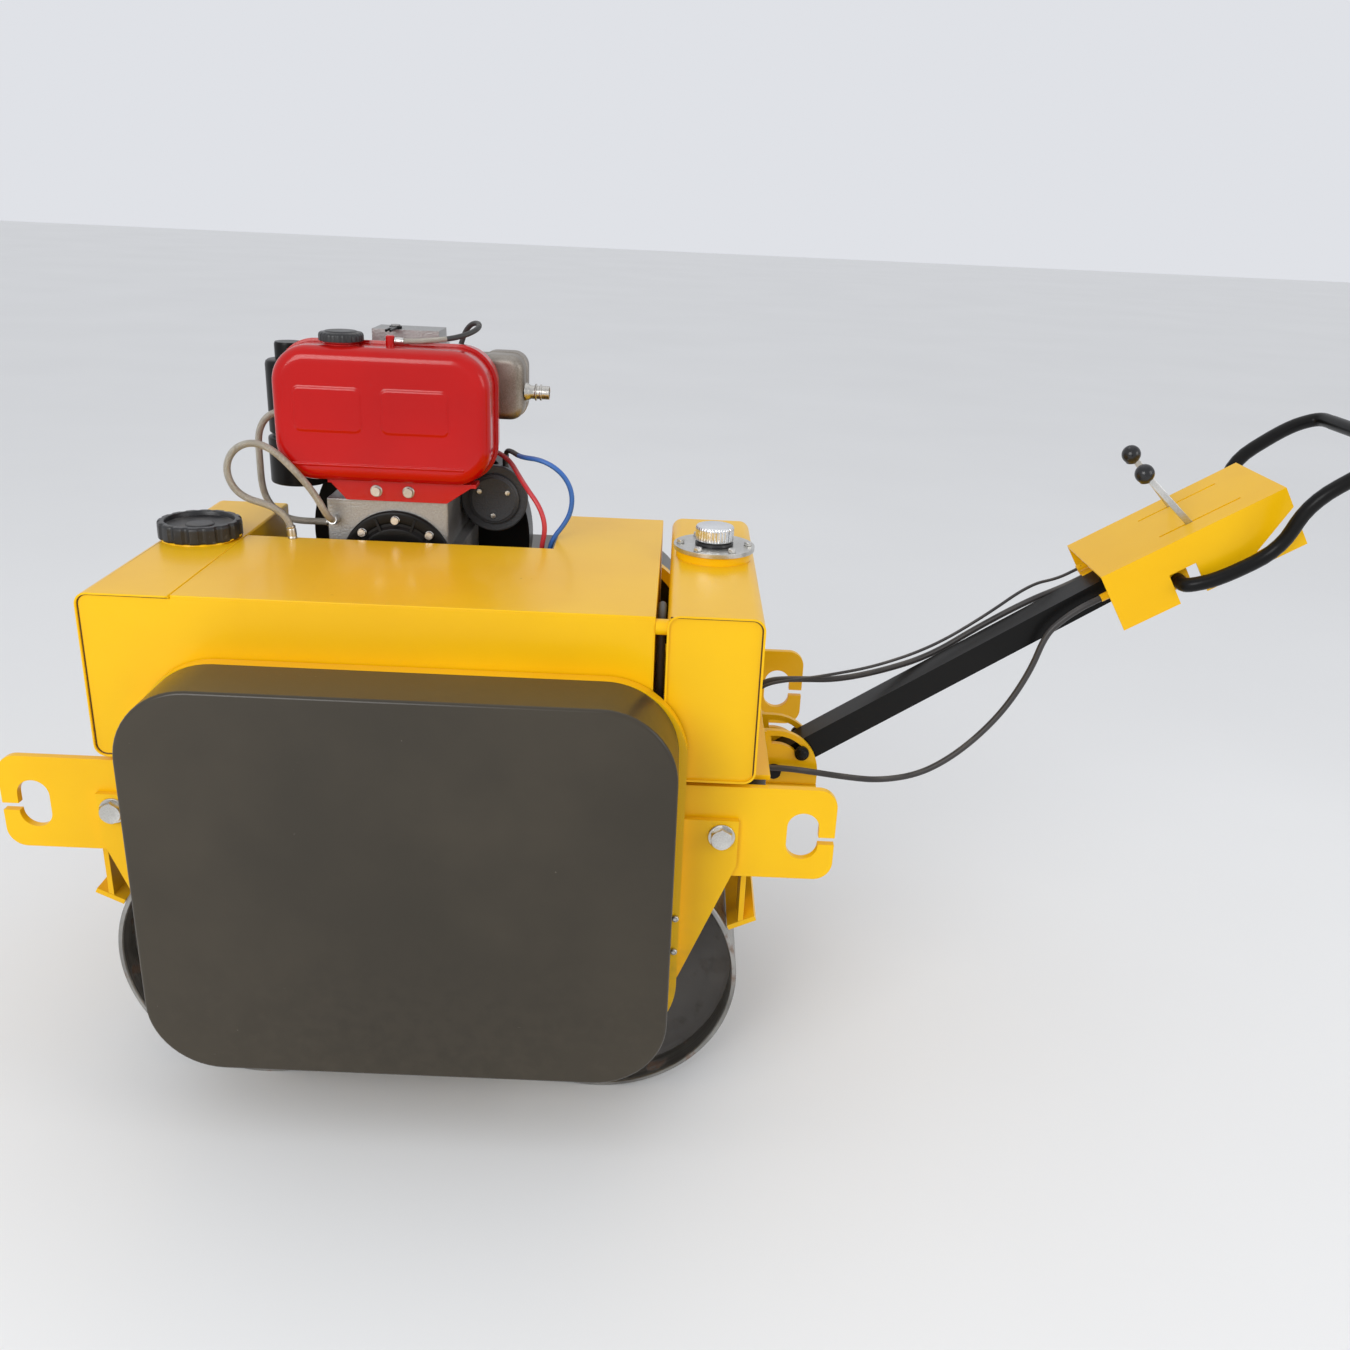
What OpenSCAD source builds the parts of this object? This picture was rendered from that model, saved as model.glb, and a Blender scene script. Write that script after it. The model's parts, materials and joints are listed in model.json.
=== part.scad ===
// Walk behind roller with two vibrating drums, an air cooled engine and a tilting handle.
// Millimetres. The ground is z = 0, +X runs to the handle and -Y is the near side.
// The drums' middle is the datum that places are measured from, and datum_x sets it
// so that the origin is the middle of the machine's footprint.

/* [Drums] */
// Diameter of each drum
drum_d = 425; // [400:1:440]
// Width of each drum
drum_w = 540; // [440:5:545]
// Thickness of the drum's shell
drum_wall = 8; // [6:1:14]
// Depth of the end webs inside the drum's rims
web_recess = 45; // [20:1:80]
// Thickness of each end web
web_t = 12; // [8:1:20]
// Diameter of the hub that holds the shaft in each web
hub_d = 96; // [80:1:120]
// Distance between the two drum shafts
wheelbase = 528; // [500:1:560]
// Diameter of the drum shafts
shaft_d = 50; // [36:1:60]
// Angle of the scraper blades above the drum's centre
scraper_angle = 25; // [15:1:35]
// Length of a scraper blade's section, out from the drum
scraper_h = 45; // [30:1:60]
// Thickness of a scraper blade
scraper_t = 8; // [5:1:12]
// Gap between a blade and its drum
scraper_gap = 2; // [1:0.5:5]

/* [Gears] */
// Teeth on each gear of the train
gear_teeth = 22; // [18:2:30]
// Width of each gear
gear_w = 25; // [15:1:40]
// Play between meshing teeth
gear_play = 0.8; // [0.4:0.1:1.2]
// Diameter of the idler pins
idler_pin_d = 30; // [20:1:36]
// Diameter of the travel motor's shaft
motor_shaft_d = 32; // [20:1:40]
// Side of the travel motor's body
motor_w = 84; // [60:1:92]
// Length of the travel motor's body
motor_len = 120; // [80:1:160]

/* [Exciter] */
// Height of the exciter shaft above the ground
exciter_z = 430; // [425:1:432]
// Outside diameter of the exciter housing
exciter_d = 140; // [120:1:144]
// Wall of the exciter housing
exciter_wall = 12; // [8:1:16]
// Diameter of the exciter shaft
exciter_shaft_d = 40; // [30:1:50]
// Length of each eccentric weight
weight_len = 110; // [60:1:140]
// Diameter of the vibration motor
vib_motor_d = 90; // [70:1:110]
// Length of the vibration motor
vib_motor_len = 100; // [70:1:105]

/* [Lower frame] */
// Width over the outer faces of the side plates
frame_w = 606; // [600:2:640]
// Thickness of the side plates
plate_t = 10; // [8:1:12]
// Length of each side plate along its top
plate_len = 924; // [900:2:950]
// Height of the side plates' top edge
plate_top_z = 505; // [503:1:515]
// Height of the shoulder where the plate's ends turn inwards
plate_shoulder_z = 432; // [425:1:440]
// Height of the knee in the plate's slanting edge
plate_knee_z = 238; // [230:1:250]
// Distance of that knee from the drums' middle
plate_knee_x = 385; // [375:1:400]
// Height of the plate's bottom edge
plate_foot_z = 140; // [136:1:146]
// Distance of the plate's bottom corners from the drums' middle
plate_foot_x = 330; // [320:1:345]
// Distance of the cross beams' inner sides from the drums' middle
beam_x = 403; // [395:1:410]
// Width of the front cross beam
front_beam_w = 70; // [66:1:75]
// Width of the rear cross beam
rear_beam_w = 102; // [90:1:110]
// Height of the beams' underside
beam_z = 440; // [432:1:450]
// Height of a cross beam's section
beam_h = 80; // [60:1:85]

/* [Hooks] */
// Distance of a hook's tip from the drums' middle
hook_reach = 603; // [590:1:620]
// Distance of a hook plate's inner end from the drums' middle
hook_root = 300; // [280:1:320]
// Thickness of a hook plate
hook_t = 12; // [10:1:14]
// Height of a hook plate's underside
hook_z = 410; // [400:1:420]
// Height of a hook plate
hook_h = 145; // [140:1:146]
// Radius of a hook plate's corners
hook_r = 28; // [15:1:35]
// Width of the upright slot in a hook
slot_w = 46; // [30:1:48]
// Height of that slot
slot_h = 74; // [60:1:84]
// Width of the mouth that opens the slot outwards
mouth_h = 11; // [8:1:14]
// Steel left between the slot and the hook's tip
slot_web = 24; // [18:1:30]
// Across flats of the hook bolts
hook_bolt_af = 30; // [24:1:34]

/* [Side covers] */
// Length of a side cover
cover_len = 742; // [720:2:750]
// Height of a side cover
cover_h = 590; // [560:1:600]
// Height of a side cover's bottom edge above the ground
cover_z = 131; // [125:1:134]
// Depth of a side cover, from its face to the rim it sits on
cover_depth = 102; // [90:1:120]
// Corner radius of a side cover
cover_r = 105; // [80:1:120]
// Sheet thickness of the side covers
cover_t = 3; // [2:0.5:4]
// Depth of the rim between a cover and its side plate
rim_depth = 20; // [16:1:25]
// How far the rim stands out past the cover
rim_lip = 12; // [11:1:16]

/* [Upper body] */
// Height of the bed plate's top
bed_z = 565; // [560:1:575]
// Thickness of the bed plate
bed_t = 8; // [6:1:12]
// Height of the body above the bed
body_h = 243; // [230:1:260]
// Depth of the body from its near side
body_depth = 535; // [500:1:560]
// Length of the water tank along the machine
water_len = 129; // [127:1:140]
// Left end of the body
body_front_x = 454; // [448:1:460]
// Right end of the engine hood
hood_rear_x = 331; // [325:1:335]
// Sheet thickness of the body
sheet_t = 3; // [2:0.5:4]
// How far the wrapped sheets stand out past the side plates they hold
wrap_lip = 4; // [2:0.5:8]
// Corner radius of the wrapped sheets
wrap_r = 18; // [10:1:25]
// Near edge of the engine opening
opening_y = 17; // [10:1:25]
// Right edge of the engine opening
opening_x = 160; // [150:1:165]
// Depth of the folds along the engine opening
opening_fold = 18; // [8:1:20]
// Gap between the hood and the hydraulic tank
tank_gap = 16; // [14:1:20]
// Length of the hydraulic tank along the machine
oil_tank_len = 134; // [130:1:140]
// Height of the hydraulic tank
oil_tank_h = 247; // [235:1:260]
// Outside diameter of the water cap
water_cap_d = 126; // [110:1:127]
// Height of the water cap
water_cap_h = 26; // [20:1:32]
// Diameter of the oil filler's flange
flange_d = 127; // [110:1:130]
// Diameter of the chrome filler cap
oil_cap_d = 60; // [50:1:70]
// Height of the chrome filler cap
oil_cap_h = 30; // [24:1:36]

/* [Engine] */
// Place of the crankshaft along the machine, forward of the drums' middle
crank_x = 95; // [90:1:100]
// Height of the crankshaft
crank_z = 760; // [757:1:762]
// Width of the crankcase
case_w = 210; // [200:1:220]
// Depth of the crankcase
case_depth = 195; // [180:1:200]
// Height of the crankcase's top
case_top_z = 866; // [855:1:870]
// Radius of the blower shroud
shroud_r = 190; // [180:1:194]
// Depth of the blower shroud
shroud_depth = 55; // [45:1:57]
// Diameter of the crankshaft
crank_d = 30; // [25:1:40]
// Diameter of the flywheel
flywheel_d = 300; // [260:1:340]
// Length of the fuel tank
fuel_w = 335; // [320:1:345]
// Height of the fuel tank
fuel_h = 206; // [190:1:215]
// Depth of the fuel tank
fuel_depth = 130; // [110:1:135]
// Corner radius of the fuel tank
fuel_r = 58; // [40:1:75]
// Diameter of the starter motor
starter_d = 84; // [70:1:90]

/* [Steering arm] */
// Distance of the arm's pivot from the drums' middle
pivot_x = 531; // [525:1:536]
// Height of the arm's pivot
pivot_z = 462; // [458:1:470]
// Slope of the arm at its lowest
arm_angle = 33.4; // [25:0.1:40]
// Width of the square arm
arm_w = 50; // [40:1:60]
// Height of the square arm
arm_h = 40; // [34:1:50]
// Wall of the arm's tube
arm_wall = 4; // [3:0.5:6]
// Length of the arm past its pivot
arm_len = 662; // [640:1:700]
// Radius of the pivot bracket's rounded plates
bracket_r = 72; // [68:1:76]
// Thickness of the pivot bracket's plates
bracket_t = 10; // [6:1:12]
// Diameter of the pivot bolt
pivot_d = 16; // [12:1:20]
// Radius of the arc slots around the pivot
arc_r = 56; // [50:1:58]
// Diameter of the clamp bolt in the arc slots
clamp_d = 12; // [10:1:14]
// Travel of the arm up from its lowest place, in degrees
arm_travel = 52; // [30:1:55]

/* [Control box] */
// Length of the control box
box_len = 288; // [280:1:310]
// Height of the control box
box_h = 96; // [90:1:110]
// Width of the control box
box_w = 180; // [170:1:200]
// Slope of the arm less the slope of the box
box_lean = 2.4; // [0:0.1:5]
// Sheet thickness of the box
box_t = 3; // [2:0.5:4]
// Place of the box along the arm
box_start = 586; // [580:1:600]
// Drop of the box's bottom edge below the arm's middle
box_drop = 43; // [38:1:48]
// Length of each lever slot
lever_slot_len = 128; // [110:1:140]
// Distance of each lever slot from the box's middle
lever_y = 48; // [40:1:60]
// Width of each lever slot
lever_slot_w = 4.6; // [4:0.2:8]
// Diameter of the lever knobs
knob_d = 29; // [24:1:36]
// Distance of a knob's centre from its lever's pivot
lever_len = 195; // [160:1:220]
// Lean of the near lever at rest, in degrees
near_lean = 17.3; // [5:0.1:20]
// Lean of the far lever at rest, in degrees
far_lean = 13; // [5:0.1:20]

/* [Loop handle] */
// Diameter of the loop handle's tube
loop_d = 22; // [18:1:25]
// Reach of the loop handle past its pivot
loop_reach = 343; // [300:1:380]
// Distance of the loop's side runs from the machine's middle, beside the box
loop_near_y = 112; // [108:1:120]
// Distance of the loop's side runs from the machine's middle, at its end
loop_far_y = 146; // [130:1:170]

/* [Hidden] */
$fn = 64;
// How far a cut runs past the face it opens
overrun = 2;
// Radial clearance of a shaft or pin in its bore
run_fit = 0.05;
// Gap between pieces that move against each other
seat_gap = 0.3;

// Drums and shafts
drum_r = drum_d / 2;
axle_x = wheelbase / 2;
web_out_y = drum_w / 2 - web_recess;
hub_len = 2.5 * web_t;
side_y = frame_w / 2;
plate_in_y = side_y - plate_t;
shaft_stub = 4;

// Gear train behind the near cover
gear_r = wheelbase / 8;
gear_module = 2 * gear_r / gear_teeth;
gear_in_y = side_y + 0.96 * gear_w;
gear_out_y = gear_in_y + gear_w;
pressure_deg = 20;
base_r = gear_r * cos(pressure_deg);
tip_r = gear_r + gear_module;
flank_radii = [gear_r - 1.25 * gear_module, base_r, gear_r, (gear_r + tip_r) / 2, tip_r];
tooth_half_deg = 90 / gear_teeth - gear_play / (2 * gear_r) * 180 / PI;
pin_collar_d = 1.5 * idler_pin_d;
motor_nose_d = 1.7 * motor_shaft_d;
motor_nose_len = 15;
shaft_way = 2;
shaft_grip = 30;

// Bearings
bearing_flange_d = 120;
bearing_flange_t = 10;
bearing_body_d = 90;
bearing_len = 18;

// Exciter between the drums
exciter_bore_d = exciter_d - 2 * exciter_wall;
exciter_bearing_w = 25;
weight_r = 0.43 * exciter_bore_d;
weight_y = 150;
exciter_stub_d = 25;
exciter_stub_len = 36;
vib_port_d = 24;
vib_port_h = 14;

// Hooks and their bolts
hook_in_y = plate_in_y - hook_t;
slot_x = hook_reach - slot_web - slot_w / 2;
slot_drop = 2.5;
slot_z = hook_z + hook_h / 2 - slot_drop;
mouth_drop = 6.5;
hook_bolt_d = 20;
hook_bolt_head = 13;
hook_bolt_z = slot_z;
hook_bolt_out_x = beam_x + front_beam_w / 2;
hook_bolt_inset = 40;
hook_bolt_in_x = hook_root + hook_bolt_inset;
bolt_fit = 0.25;

// Covers, their rims and bolts
cover_top_z = cover_z + cover_h;
cover_in_y = side_y + rim_depth;
cover_out_y = cover_in_y + cover_depth;
rim_inset = 2 * cover_t;
cover_bolt_d = 7;
cover_bolt_head_d = 10.6;
cover_bolt_head_t = 5;
cover_bolt_x = cover_len / 2 + rim_lip / 2;
cover_bolt_zs = [cover_z + 0.28 * cover_h, cover_z + 0.376 * cover_h];

// Scrapers
scraper_inset = 4;
scraper_len = drum_w - 2 * scraper_inset;
strap_t = 8;
strap_w = 60;
strap_inset = 35;
strap_y = drum_w / 2 - strap_inset;
strap_x = beam_x + front_beam_w;
strap_foot_z = drum_r + (strap_x - axle_x) * tan(scraper_angle);
strap_lap = 60;

// Beams, rubber mounts and bed
beam_wall = 6;
beam_top_z = beam_z + beam_h;
mount_d = 50;
mount_y = 235;
front_mount_x = beam_x + front_beam_w / 2;
rear_mount_x = beam_x + rear_beam_w - mount_d / 2;
bed_half_y = 270;
bed_inset = 4;
rail_w = 40;
rail_h = 35;
rail_len = 224;
rail_y = 20;

// Water tank and cap
body_near_y = -side_y;
body_far_y = body_near_y + body_depth;
body_top_z = bed_z + body_h;
seam_x = water_len - body_front_x;
water_cap_x = seam_x - water_len / 2;
water_cap_y = -5;
neck_bore_d = 0.8 * water_cap_d;
neck_wall = 3;
neck_h = 16;
cap_ring_h = 2.7;
cap_skin = 6;
cap_flutes = 16;
flute_d = 9;
cap_dish = 3;
outlet_d = 24;

// Hydraulic tank, flange and cap
oil_tank_x = hood_rear_x + tank_gap;
oil_top_z = bed_z + oil_tank_h;
flange_x = oil_tank_x + oil_tank_len / 2;
collar_d = 0.93 * flange_d;
collar_h = 13;
flange_t = 7;
flange_bore_d = 44;
flange_top_z = oil_top_z + collar_h + flange_t;
flange_bolt_d = 8;
flange_bolt_head_d = 13;
flange_bolt_head_t = 5.5;
flange_bolt_r = 0.415 * flange_d;
flange_bolts_n = 6;
spacer_d = 22;
spacer_inset = 13;
spacer_drop = 17;
spacer_y = body_near_y + spacer_inset;
spacer_z = body_top_z - spacer_drop;
cap_bead = 4;
cap_neck = 0.75 * oil_cap_d;

// Water pipes
pipe_d = 16;
pipe_wall = 2;
pipe_x = -390;
pipe_y = 150;
pipe_z = 530;
sprinkler_d = 22;
sprinkler_z = 460;

// Battery in the hood's right end
battery_w = 140;
battery_depth = 140;
battery_h = 175;
battery_y = 60;
battery_gap = 6;
post_d = 16;
post_h = 18;

// Engine block
case_shift = 5;
case_left_x = -crank_x - case_w / 2 - case_shift;
case_right_x = case_left_x + case_w;
case_y = 50;
case_far_y = case_y + case_depth;
case_step_up = 30;
case_step_z = crank_z + case_step_up;
case_step = 17;
case_base_z = bed_z + rail_h;
pto_d = 180;
pto_t = 12;
pto_bolt_r = 76;
pto_bolts = 8;
pto_bolt_d = 12;
crank_bore_d = crank_d + 2 * run_fit;
coupling_d = 56;
coupling_len = 50;
coupling_gap = 8;
coupling_y = case_y - pto_t - coupling_gap;
pump_w = 80;
pump_len = 120;
pump_gap = 10;
pump_y = coupling_y - coupling_len - pump_gap;
pump_foot_t = 12;
pump_grip = 30;
flywheel_w = 34;
flywheel_gap = 9;
flywheel_y = case_far_y + flywheel_gap;

// Cylinder, head and rocker cover
bore_x = -crank_x;
bore_inset = 148;
bore_y = case_y + bore_inset;
barrel_d = 78;
fin_w = 112;
fin_depth = 84;
fin_t = 3;
fin_pitch = 10;
fin_count = 17;
barrel_h = 184;
head_z = case_top_z + barrel_h;
head_h = 40;
head_w = 120;
head_depth = 84;
rocker_h = 28;
rocker_w = 108;
rocker_depth = 66;
rocker_lip = 4;

// Fuel tank, its bracket and cap
fuel_left_x = -275;
fuel_y = 20;
bracket_h = 32;
fuel_z = case_top_z + bracket_h;
fuel_wall = 2;
fuel_seam = 5;
fuel_seam_t = 4;
fuel_panel = 1.5;
fuel_panel_h = 72;
fuel_panel_z = fuel_z + 0.37 * fuel_h;
fuel_panels = [[0.1, 0.42], [0.5, 0.82]];
fuel_bead_h = 6;
fuel_bead_shares = [0.06, 0.9];
fuel_cap_x = -172;
fuel_cap_inset = 45;
fuel_cap_y = fuel_y + fuel_cap_inset;
fuel_cap_d = 68;
fuel_cap_h = 15;
fuel_neck_d = 50;
fuel_neck_h = 12;
bracket_stand = 6;
bracket_y = case_y - bracket_stand;
bracket_plate_t = 6;
bracket_flange = 34;
bracket_bolt_d = 14;
bracket_bolt_t = 7;
bracket_bolt_shares = [0.3, 0.62];
bracket_shares = [0.224, 0.31, 0.785, 0.925];

// Air cleaner, muffler, shroud, starter and small levers
cleaner_x = -295;
cleaner_y = 200;
cleaner_drop = 110;
cleaner_z = head_z - cleaner_drop;
cleaner_d = 80;
cleaner_h = 120;
bowl_d = 96;
bowl_h = 84;
bowl_shift = 5;
intake_d = 36;
intake_drop = 2;
wing_d = 26;
wing_t = 12;
muffler_x = 57;
muffler_y = 210;
muffler_drop = 70;
muffler_z = head_z - muffler_drop;
muffler_w = 76;
muffler_depth = 90;
muffler_h = 105;
muffler_r = 24;
outlet_up = 45;
outlet_z = muffler_z + outlet_up;
tail_d = 22;
tail_wall = 2;
tail_len = 40;
exhaust_d = 30;
shroud_t = 4;
shroud_inlet_d = 200;
starter_x = 46;
starter_z = 850;
starter_len = 95;
starter_ring_d = 112;
starter_ring_t = 10;
terminal_d = 10;
terminal_h = 5;
lever_pin_d = 10;
decomp_x = -113;
decomp_inset = 20;
decomp_y = bore_y - decomp_inset;
decomp_len = 56;
decomp_w = 10;
decomp_t = 4;

// Pivot bracket, arm and bolts
arm_side_gap = 3;
bracket_in_y = arm_w / 2 + arm_side_gap;
bracket_out_y = bracket_in_y + bracket_t;
bracket_back_x = beam_x + rear_beam_w;
bracket_back_t = 10;
bracket_lip = 6;
bracket_foot_t = 7;
clamp_deg = 5;
clamp_play = 1;
boss_d = 30;
pivot_head_d = 26;
pivot_head_t = 8;
clamp_nut_d = 24;
clamp_nut_t = 12;
arm_tail = 8;
bracket_floor_z = pivot_z - norm([arm_tail, arm_h / 2]) - 2 * seat_gap;
arc_low_deg = arm_angle + clamp_deg;
slot_end_deg = asin((clamp_d / 2 + clamp_play) / arc_r);
slot_low_deg = arc_low_deg - slot_end_deg;
slot_deg = arm_travel + 2 * slot_end_deg;
clamp_place = arc_r * [cos(clamp_deg), 0, sin(clamp_deg)];

// Control box and levers, in the box's own frame
box_deg = arm_angle - box_lean;
box_in_y = box_w / 2 - box_t;
notch_shares = [[1, 0.66], [0.75, 0.23], [1, 0.27]];
window_u = 91;
window_w = 42;
window_h = 50;
rib_us = [30, 62];
rib_t = 4;
rib_edge = 5;
loop_u = 104;
loop_v = 28;
lug_y = 60;
lug_t = 8;
lug_w = 36;
lug_drop = 14;
lever_u = 181;
lever_v = 12;
rod_d = 10;
lever_hub_d = 24;
lever_hub_t = 10;
lever_t = 3;
knob_seat = lever_len - 0.45 * knob_d;
lever_w = 10;
lever_slot_u = 108;
adjuster_d = 12;
adjuster_len = 34;
adjuster_places = [[36, 56], [54, 66], [-46, 46]];
cable_r = 5;
wire_r = 2.5;
fuel_hose_r = 5.5;
oil_hose_r = 6;
return_r = 4;
return_post_d = 14;
return_post_h = 18;
lead_r = 4;

// Loop handle's tube, as shares of its reach and places across the machine
loop_r = loop_d / 2;
loop_start_inset = 14;
loop_in_y = box_w / 2 - loop_start_inset;
loop_u_shares = [0, 0, 0.13, 0.4, 0.555, 0.855, 1];
loop_v_shares = [0, 0, -0.023, -0.023, 0.155, 0.18, 0.15];
loop_side_ys = [loop_in_y, box_w / 2 + loop_r, loop_near_y, loop_near_y, loop_far_y - loop_r / 2,
    loop_far_y, loop_far_y];
loop_bend = 42;
grip_half = loop_far_y - loop_bend;

// The origin is the middle of the machine's length on the ground
machine_rear_x = pivot_x + box_start * cos(arm_angle) + box_drop * sin(arm_angle)
    + (loop_u + loop_reach) * cos(box_deg)
    - (loop_v + loop_v_shares[6] * loop_reach) * sin(box_deg) + loop_r;
datum_x = (hook_reach - machine_rear_x) / 2;

// Routes of the free cords, from the drums' middle
upper_cable = [[490, 20, 578], [501, 20, 589], [515, 20, 597], [532, 21, 601], [571, 24, 602],
    [630, 28, 602], [705, 32, 620], [781, 33, 650], [856, 34, 705], [930, 35, 752]];
upper_wire = [[490, 2, 578], [500, 2, 588], [512, 2, 597], [530, 5, 602], [560, 9, 606],
    [610, 14, 614], [690, 18, 632], [780, 24, 668], [860, 32, 722], [930, 44, 776]];
lower_cable = [[509, -52, 474], [540, -52, 474], [573, -52, 472], [656, -50, 461],
    [706, -48, 458], [763, -48, 470], [808, -48, 497], [852, -48, 539], [893, -48, 594],
    [924, -48, 661], [938, -47, 718], [956, -46, 742]];
fuel_hose_low = [[-251, 10, 808], [-251, 10, 822], [-257, 10, 840], [-272, 10, 854],
    [-292, 10, 862], [-316, 10, 868], [-334, 10, 880], [-344, 10, 898], [-346, 10, 918],
    [-338, 10, 938], [-322, 10, 952], [-302, 10, 957], [-282, 10, 952], [-264, 10, 940],
    [-246, 10, 922], [-228, 10, 902], [-213, 10, 882], [-203, 10, 864], [-197, 15, 848],
    [-193, 25, 838], [-192, 37, 832], [-192, 50, 832]];
fuel_hose_side = [[-275, 104, 990], [-292, 104, 989], [-309, 104, 980], [-320, 104, 964],
    [-325, 104, 944], [-325, 104, 910], [-325, 104, 872], [-320, 104, 849], [-308, 104, 830],
    [-291, 104, 817], [-270, 104, 812], [-236, 104, 812], [-205, 104, 812]];
return_line = [[-90, 66, 1112], [-72, 66, 1112], [-48, 68, 1113], [-24, 76, 1115],
    [0, 88, 1118], [20, 102, 1124], [31, 120, 1131], [28, 141, 1136], [14, 156, 1134],
    [2, 163, 1121], [-4, 164, 1104], [-10, 164, 1088], [-21, 164, 1077], [-35, 164, 1074]];
riser_line = [[339, -262, 565], [339, -262, 640], [339, -262, 700], [339, -262, 734],
    [339, -262, 770], [339, -236, 796], [339, -200, 796], [339, -174, 770],
    [339, -174, 734], [339, -174, 700], [339, -174, 640], [339, -174, 565]];
blue_lead = [[60, 198, 897], [60, 198, 914], [64, 186, 927], [76, 160, 931], [90, 128, 931],
    [106, 98, 934], [130, 80, 936], [156, 75, 926], [176, 75, 906], [185, 75, 880],
    [182, 75, 852], [170, 75, 830], [156, 76, 812], [148, 77, 792], [147, 80, 772],
    [156, 84, 756], [176, 87, 750], [202, 88, 750]];
red_lead = [[32, 198, 897], [32, 198, 914], [38, 186, 926], [56, 164, 926], [78, 136, 918],
    [94, 104, 904], [112, 80, 886], [130, 68, 866], [140, 63, 844], [142, 62, 822],
    [136, 66, 796], [136, 76, 772], [144, 92, 754], [154, 116, 750], [164, 142, 750],
    [178, 162, 750], [202, 172, 750]];

// Solids between two heights across the machine
module slab_y(y0, y1) {
    translate([0, y1, 0]) rotate([90, 0, 0]) linear_extrude(y1 - y0) children();
}
module rod_y(d, y0, y1) {
    translate([0, y1, 0]) rotate([90, 0, 0]) cylinder(d = d, h = y1 - y0);
}
module block(low, high) {
    translate(low) cube(high - low);
}
module both_sides() {
    children();
    mirror([0, 1, 0]) children();
}
module both_ends() {
    children();
    mirror([1, 0, 0]) children();
}
module round_rect(low, high, r) {
    translate([low[0] + r, low[1]]) square([high[0] - low[0] - 2 * r, high[1] - low[1]]);
    translate([low[0], low[1] + r]) square([high[0] - low[0], high[1] - low[1] - 2 * r]);
    for (x = [low[0] + r, high[0] - r], y = [low[1] + r, high[1] - r])
        translate([x, y]) circle(r);
}
module at_datum() {
    translate([datum_x, 0, 0]) children();
}
module arm_frame() {
    translate([pivot_x, 0, pivot_z]) rotate([0, -arm_angle, 0]) children();
}
module box_frame() {
    arm_frame() translate([box_start, 0, -box_drop]) rotate([0, box_lean, 0]) children();
}

// A route with its corners rounded, and the tube that follows it
function on_bend(a, b, c, t) = (1 - t) * (1 - t) * a + 2 * t * (1 - t) * b + t * t * c;
function bend_path(p, reach, steps) = concat([p[0]], [for (i = [1 : len(p) - 2])
    let (s = min(reach / norm(p[i - 1] - p[i]), 0.44), e = min(reach / norm(p[i + 1] - p[i]), 0.44))
    for (k = [0 : steps]) on_bend(p[i] + s * (p[i - 1] - p[i]), p[i],
        p[i] + e * (p[i + 1] - p[i]), k / steps)], [p[len(p) - 1]]);
function unit(v) = v / norm(v);
function run_of(p, i) = unit(p[min(i + 1, len(p) - 1)] - p[max(i - 1, 0)]);
module tube(p, r, sides, across) {
    rings = [for (i = [0 : len(p) - 1]) let (t = run_of(p, i), n = unit(cross(across, t)),
        m = cross(t, n)) for (j = [0 : sides - 1])
        p[i] + r * (cos(360 * j / sides) * n + sin(360 * j / sides) * m)];
    last = sides * (len(p) - 1);
    polyhedron(rings, concat(
        [for (i = [0 : len(p) - 2], j = [0 : sides - 1]) let (a = i * sides + j,
            b = i * sides + (j + 1) % sides) each [[a, a + sides, b + sides], [a, b + sides, b]]],
        [for (j = [1 : sides - 2]) [0, j, j + 1]],
        [for (j = [1 : sides - 2]) [last, last + j + 1, last + j]]));
}

// Gears: each flank runs from the root over the base and pitch circles to the tip
function involute_deg(a) = tan(a) * 180 / PI - a;
function flank_deg(r) = tooth_half_deg + involute_deg(pressure_deg)
    - involute_deg(acos(min(base_r / r, 1)));
function gear_points(turn) = [for (i = [0 : gear_teeth - 1], k = [0 : 2 * len(flank_radii) - 1])
    let (up = k < len(flank_radii), r = flank_radii[up ? k : 2 * len(flank_radii) - 1 - k],
        a = turn + 360 * i / gear_teeth + (up ? -1 : 1) * flank_deg(r))
    [r * cos(a), r * sin(a)]];
module gear(place, bore) {
    translate([place * 2 * gear_r, 0, drum_r]) slab_y(-gear_out_y, -gear_in_y) difference() {
        polygon(gear_points((place % 2 == 0 ? 0 : 180 / gear_teeth)));
        if (bore > 0) circle(d = bore);
    }
}

// Drums: rolled shells on recessed webs
module drum(x) {
    translate([x, 0, drum_r]) {
        difference() {
            rod_y(drum_d, -drum_w / 2, drum_w / 2);
            rod_y(drum_d - 2 * drum_wall, -drum_w / 2 - overrun, drum_w / 2 + overrun);
        }
        both_sides() difference() {
            union() {
                rod_y(drum_d - drum_wall, web_out_y - web_t, web_out_y);
                rod_y(hub_d, web_out_y - hub_len, web_out_y);
            }
            rod_y(shaft_d + 2 * run_fit, web_out_y - hub_len - overrun, web_out_y + overrun);
        }
    }
}
module drum_shaft(place) {
    translate([place * 2 * gear_r, 0, drum_r])
        rod_y(shaft_d, -gear_out_y - shaft_stub, side_y + bearing_flange_t + shaft_stub);
    gear(place, 0);
}
module front_drum() color("slategray") drum(-axle_x);
module rear_drum() color("slategray") drum(axle_x);
module front_drum_shaft() color("dimgray") drum_shaft(-2);
module rear_drum_shaft() color("dimgray") drum_shaft(2);

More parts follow.
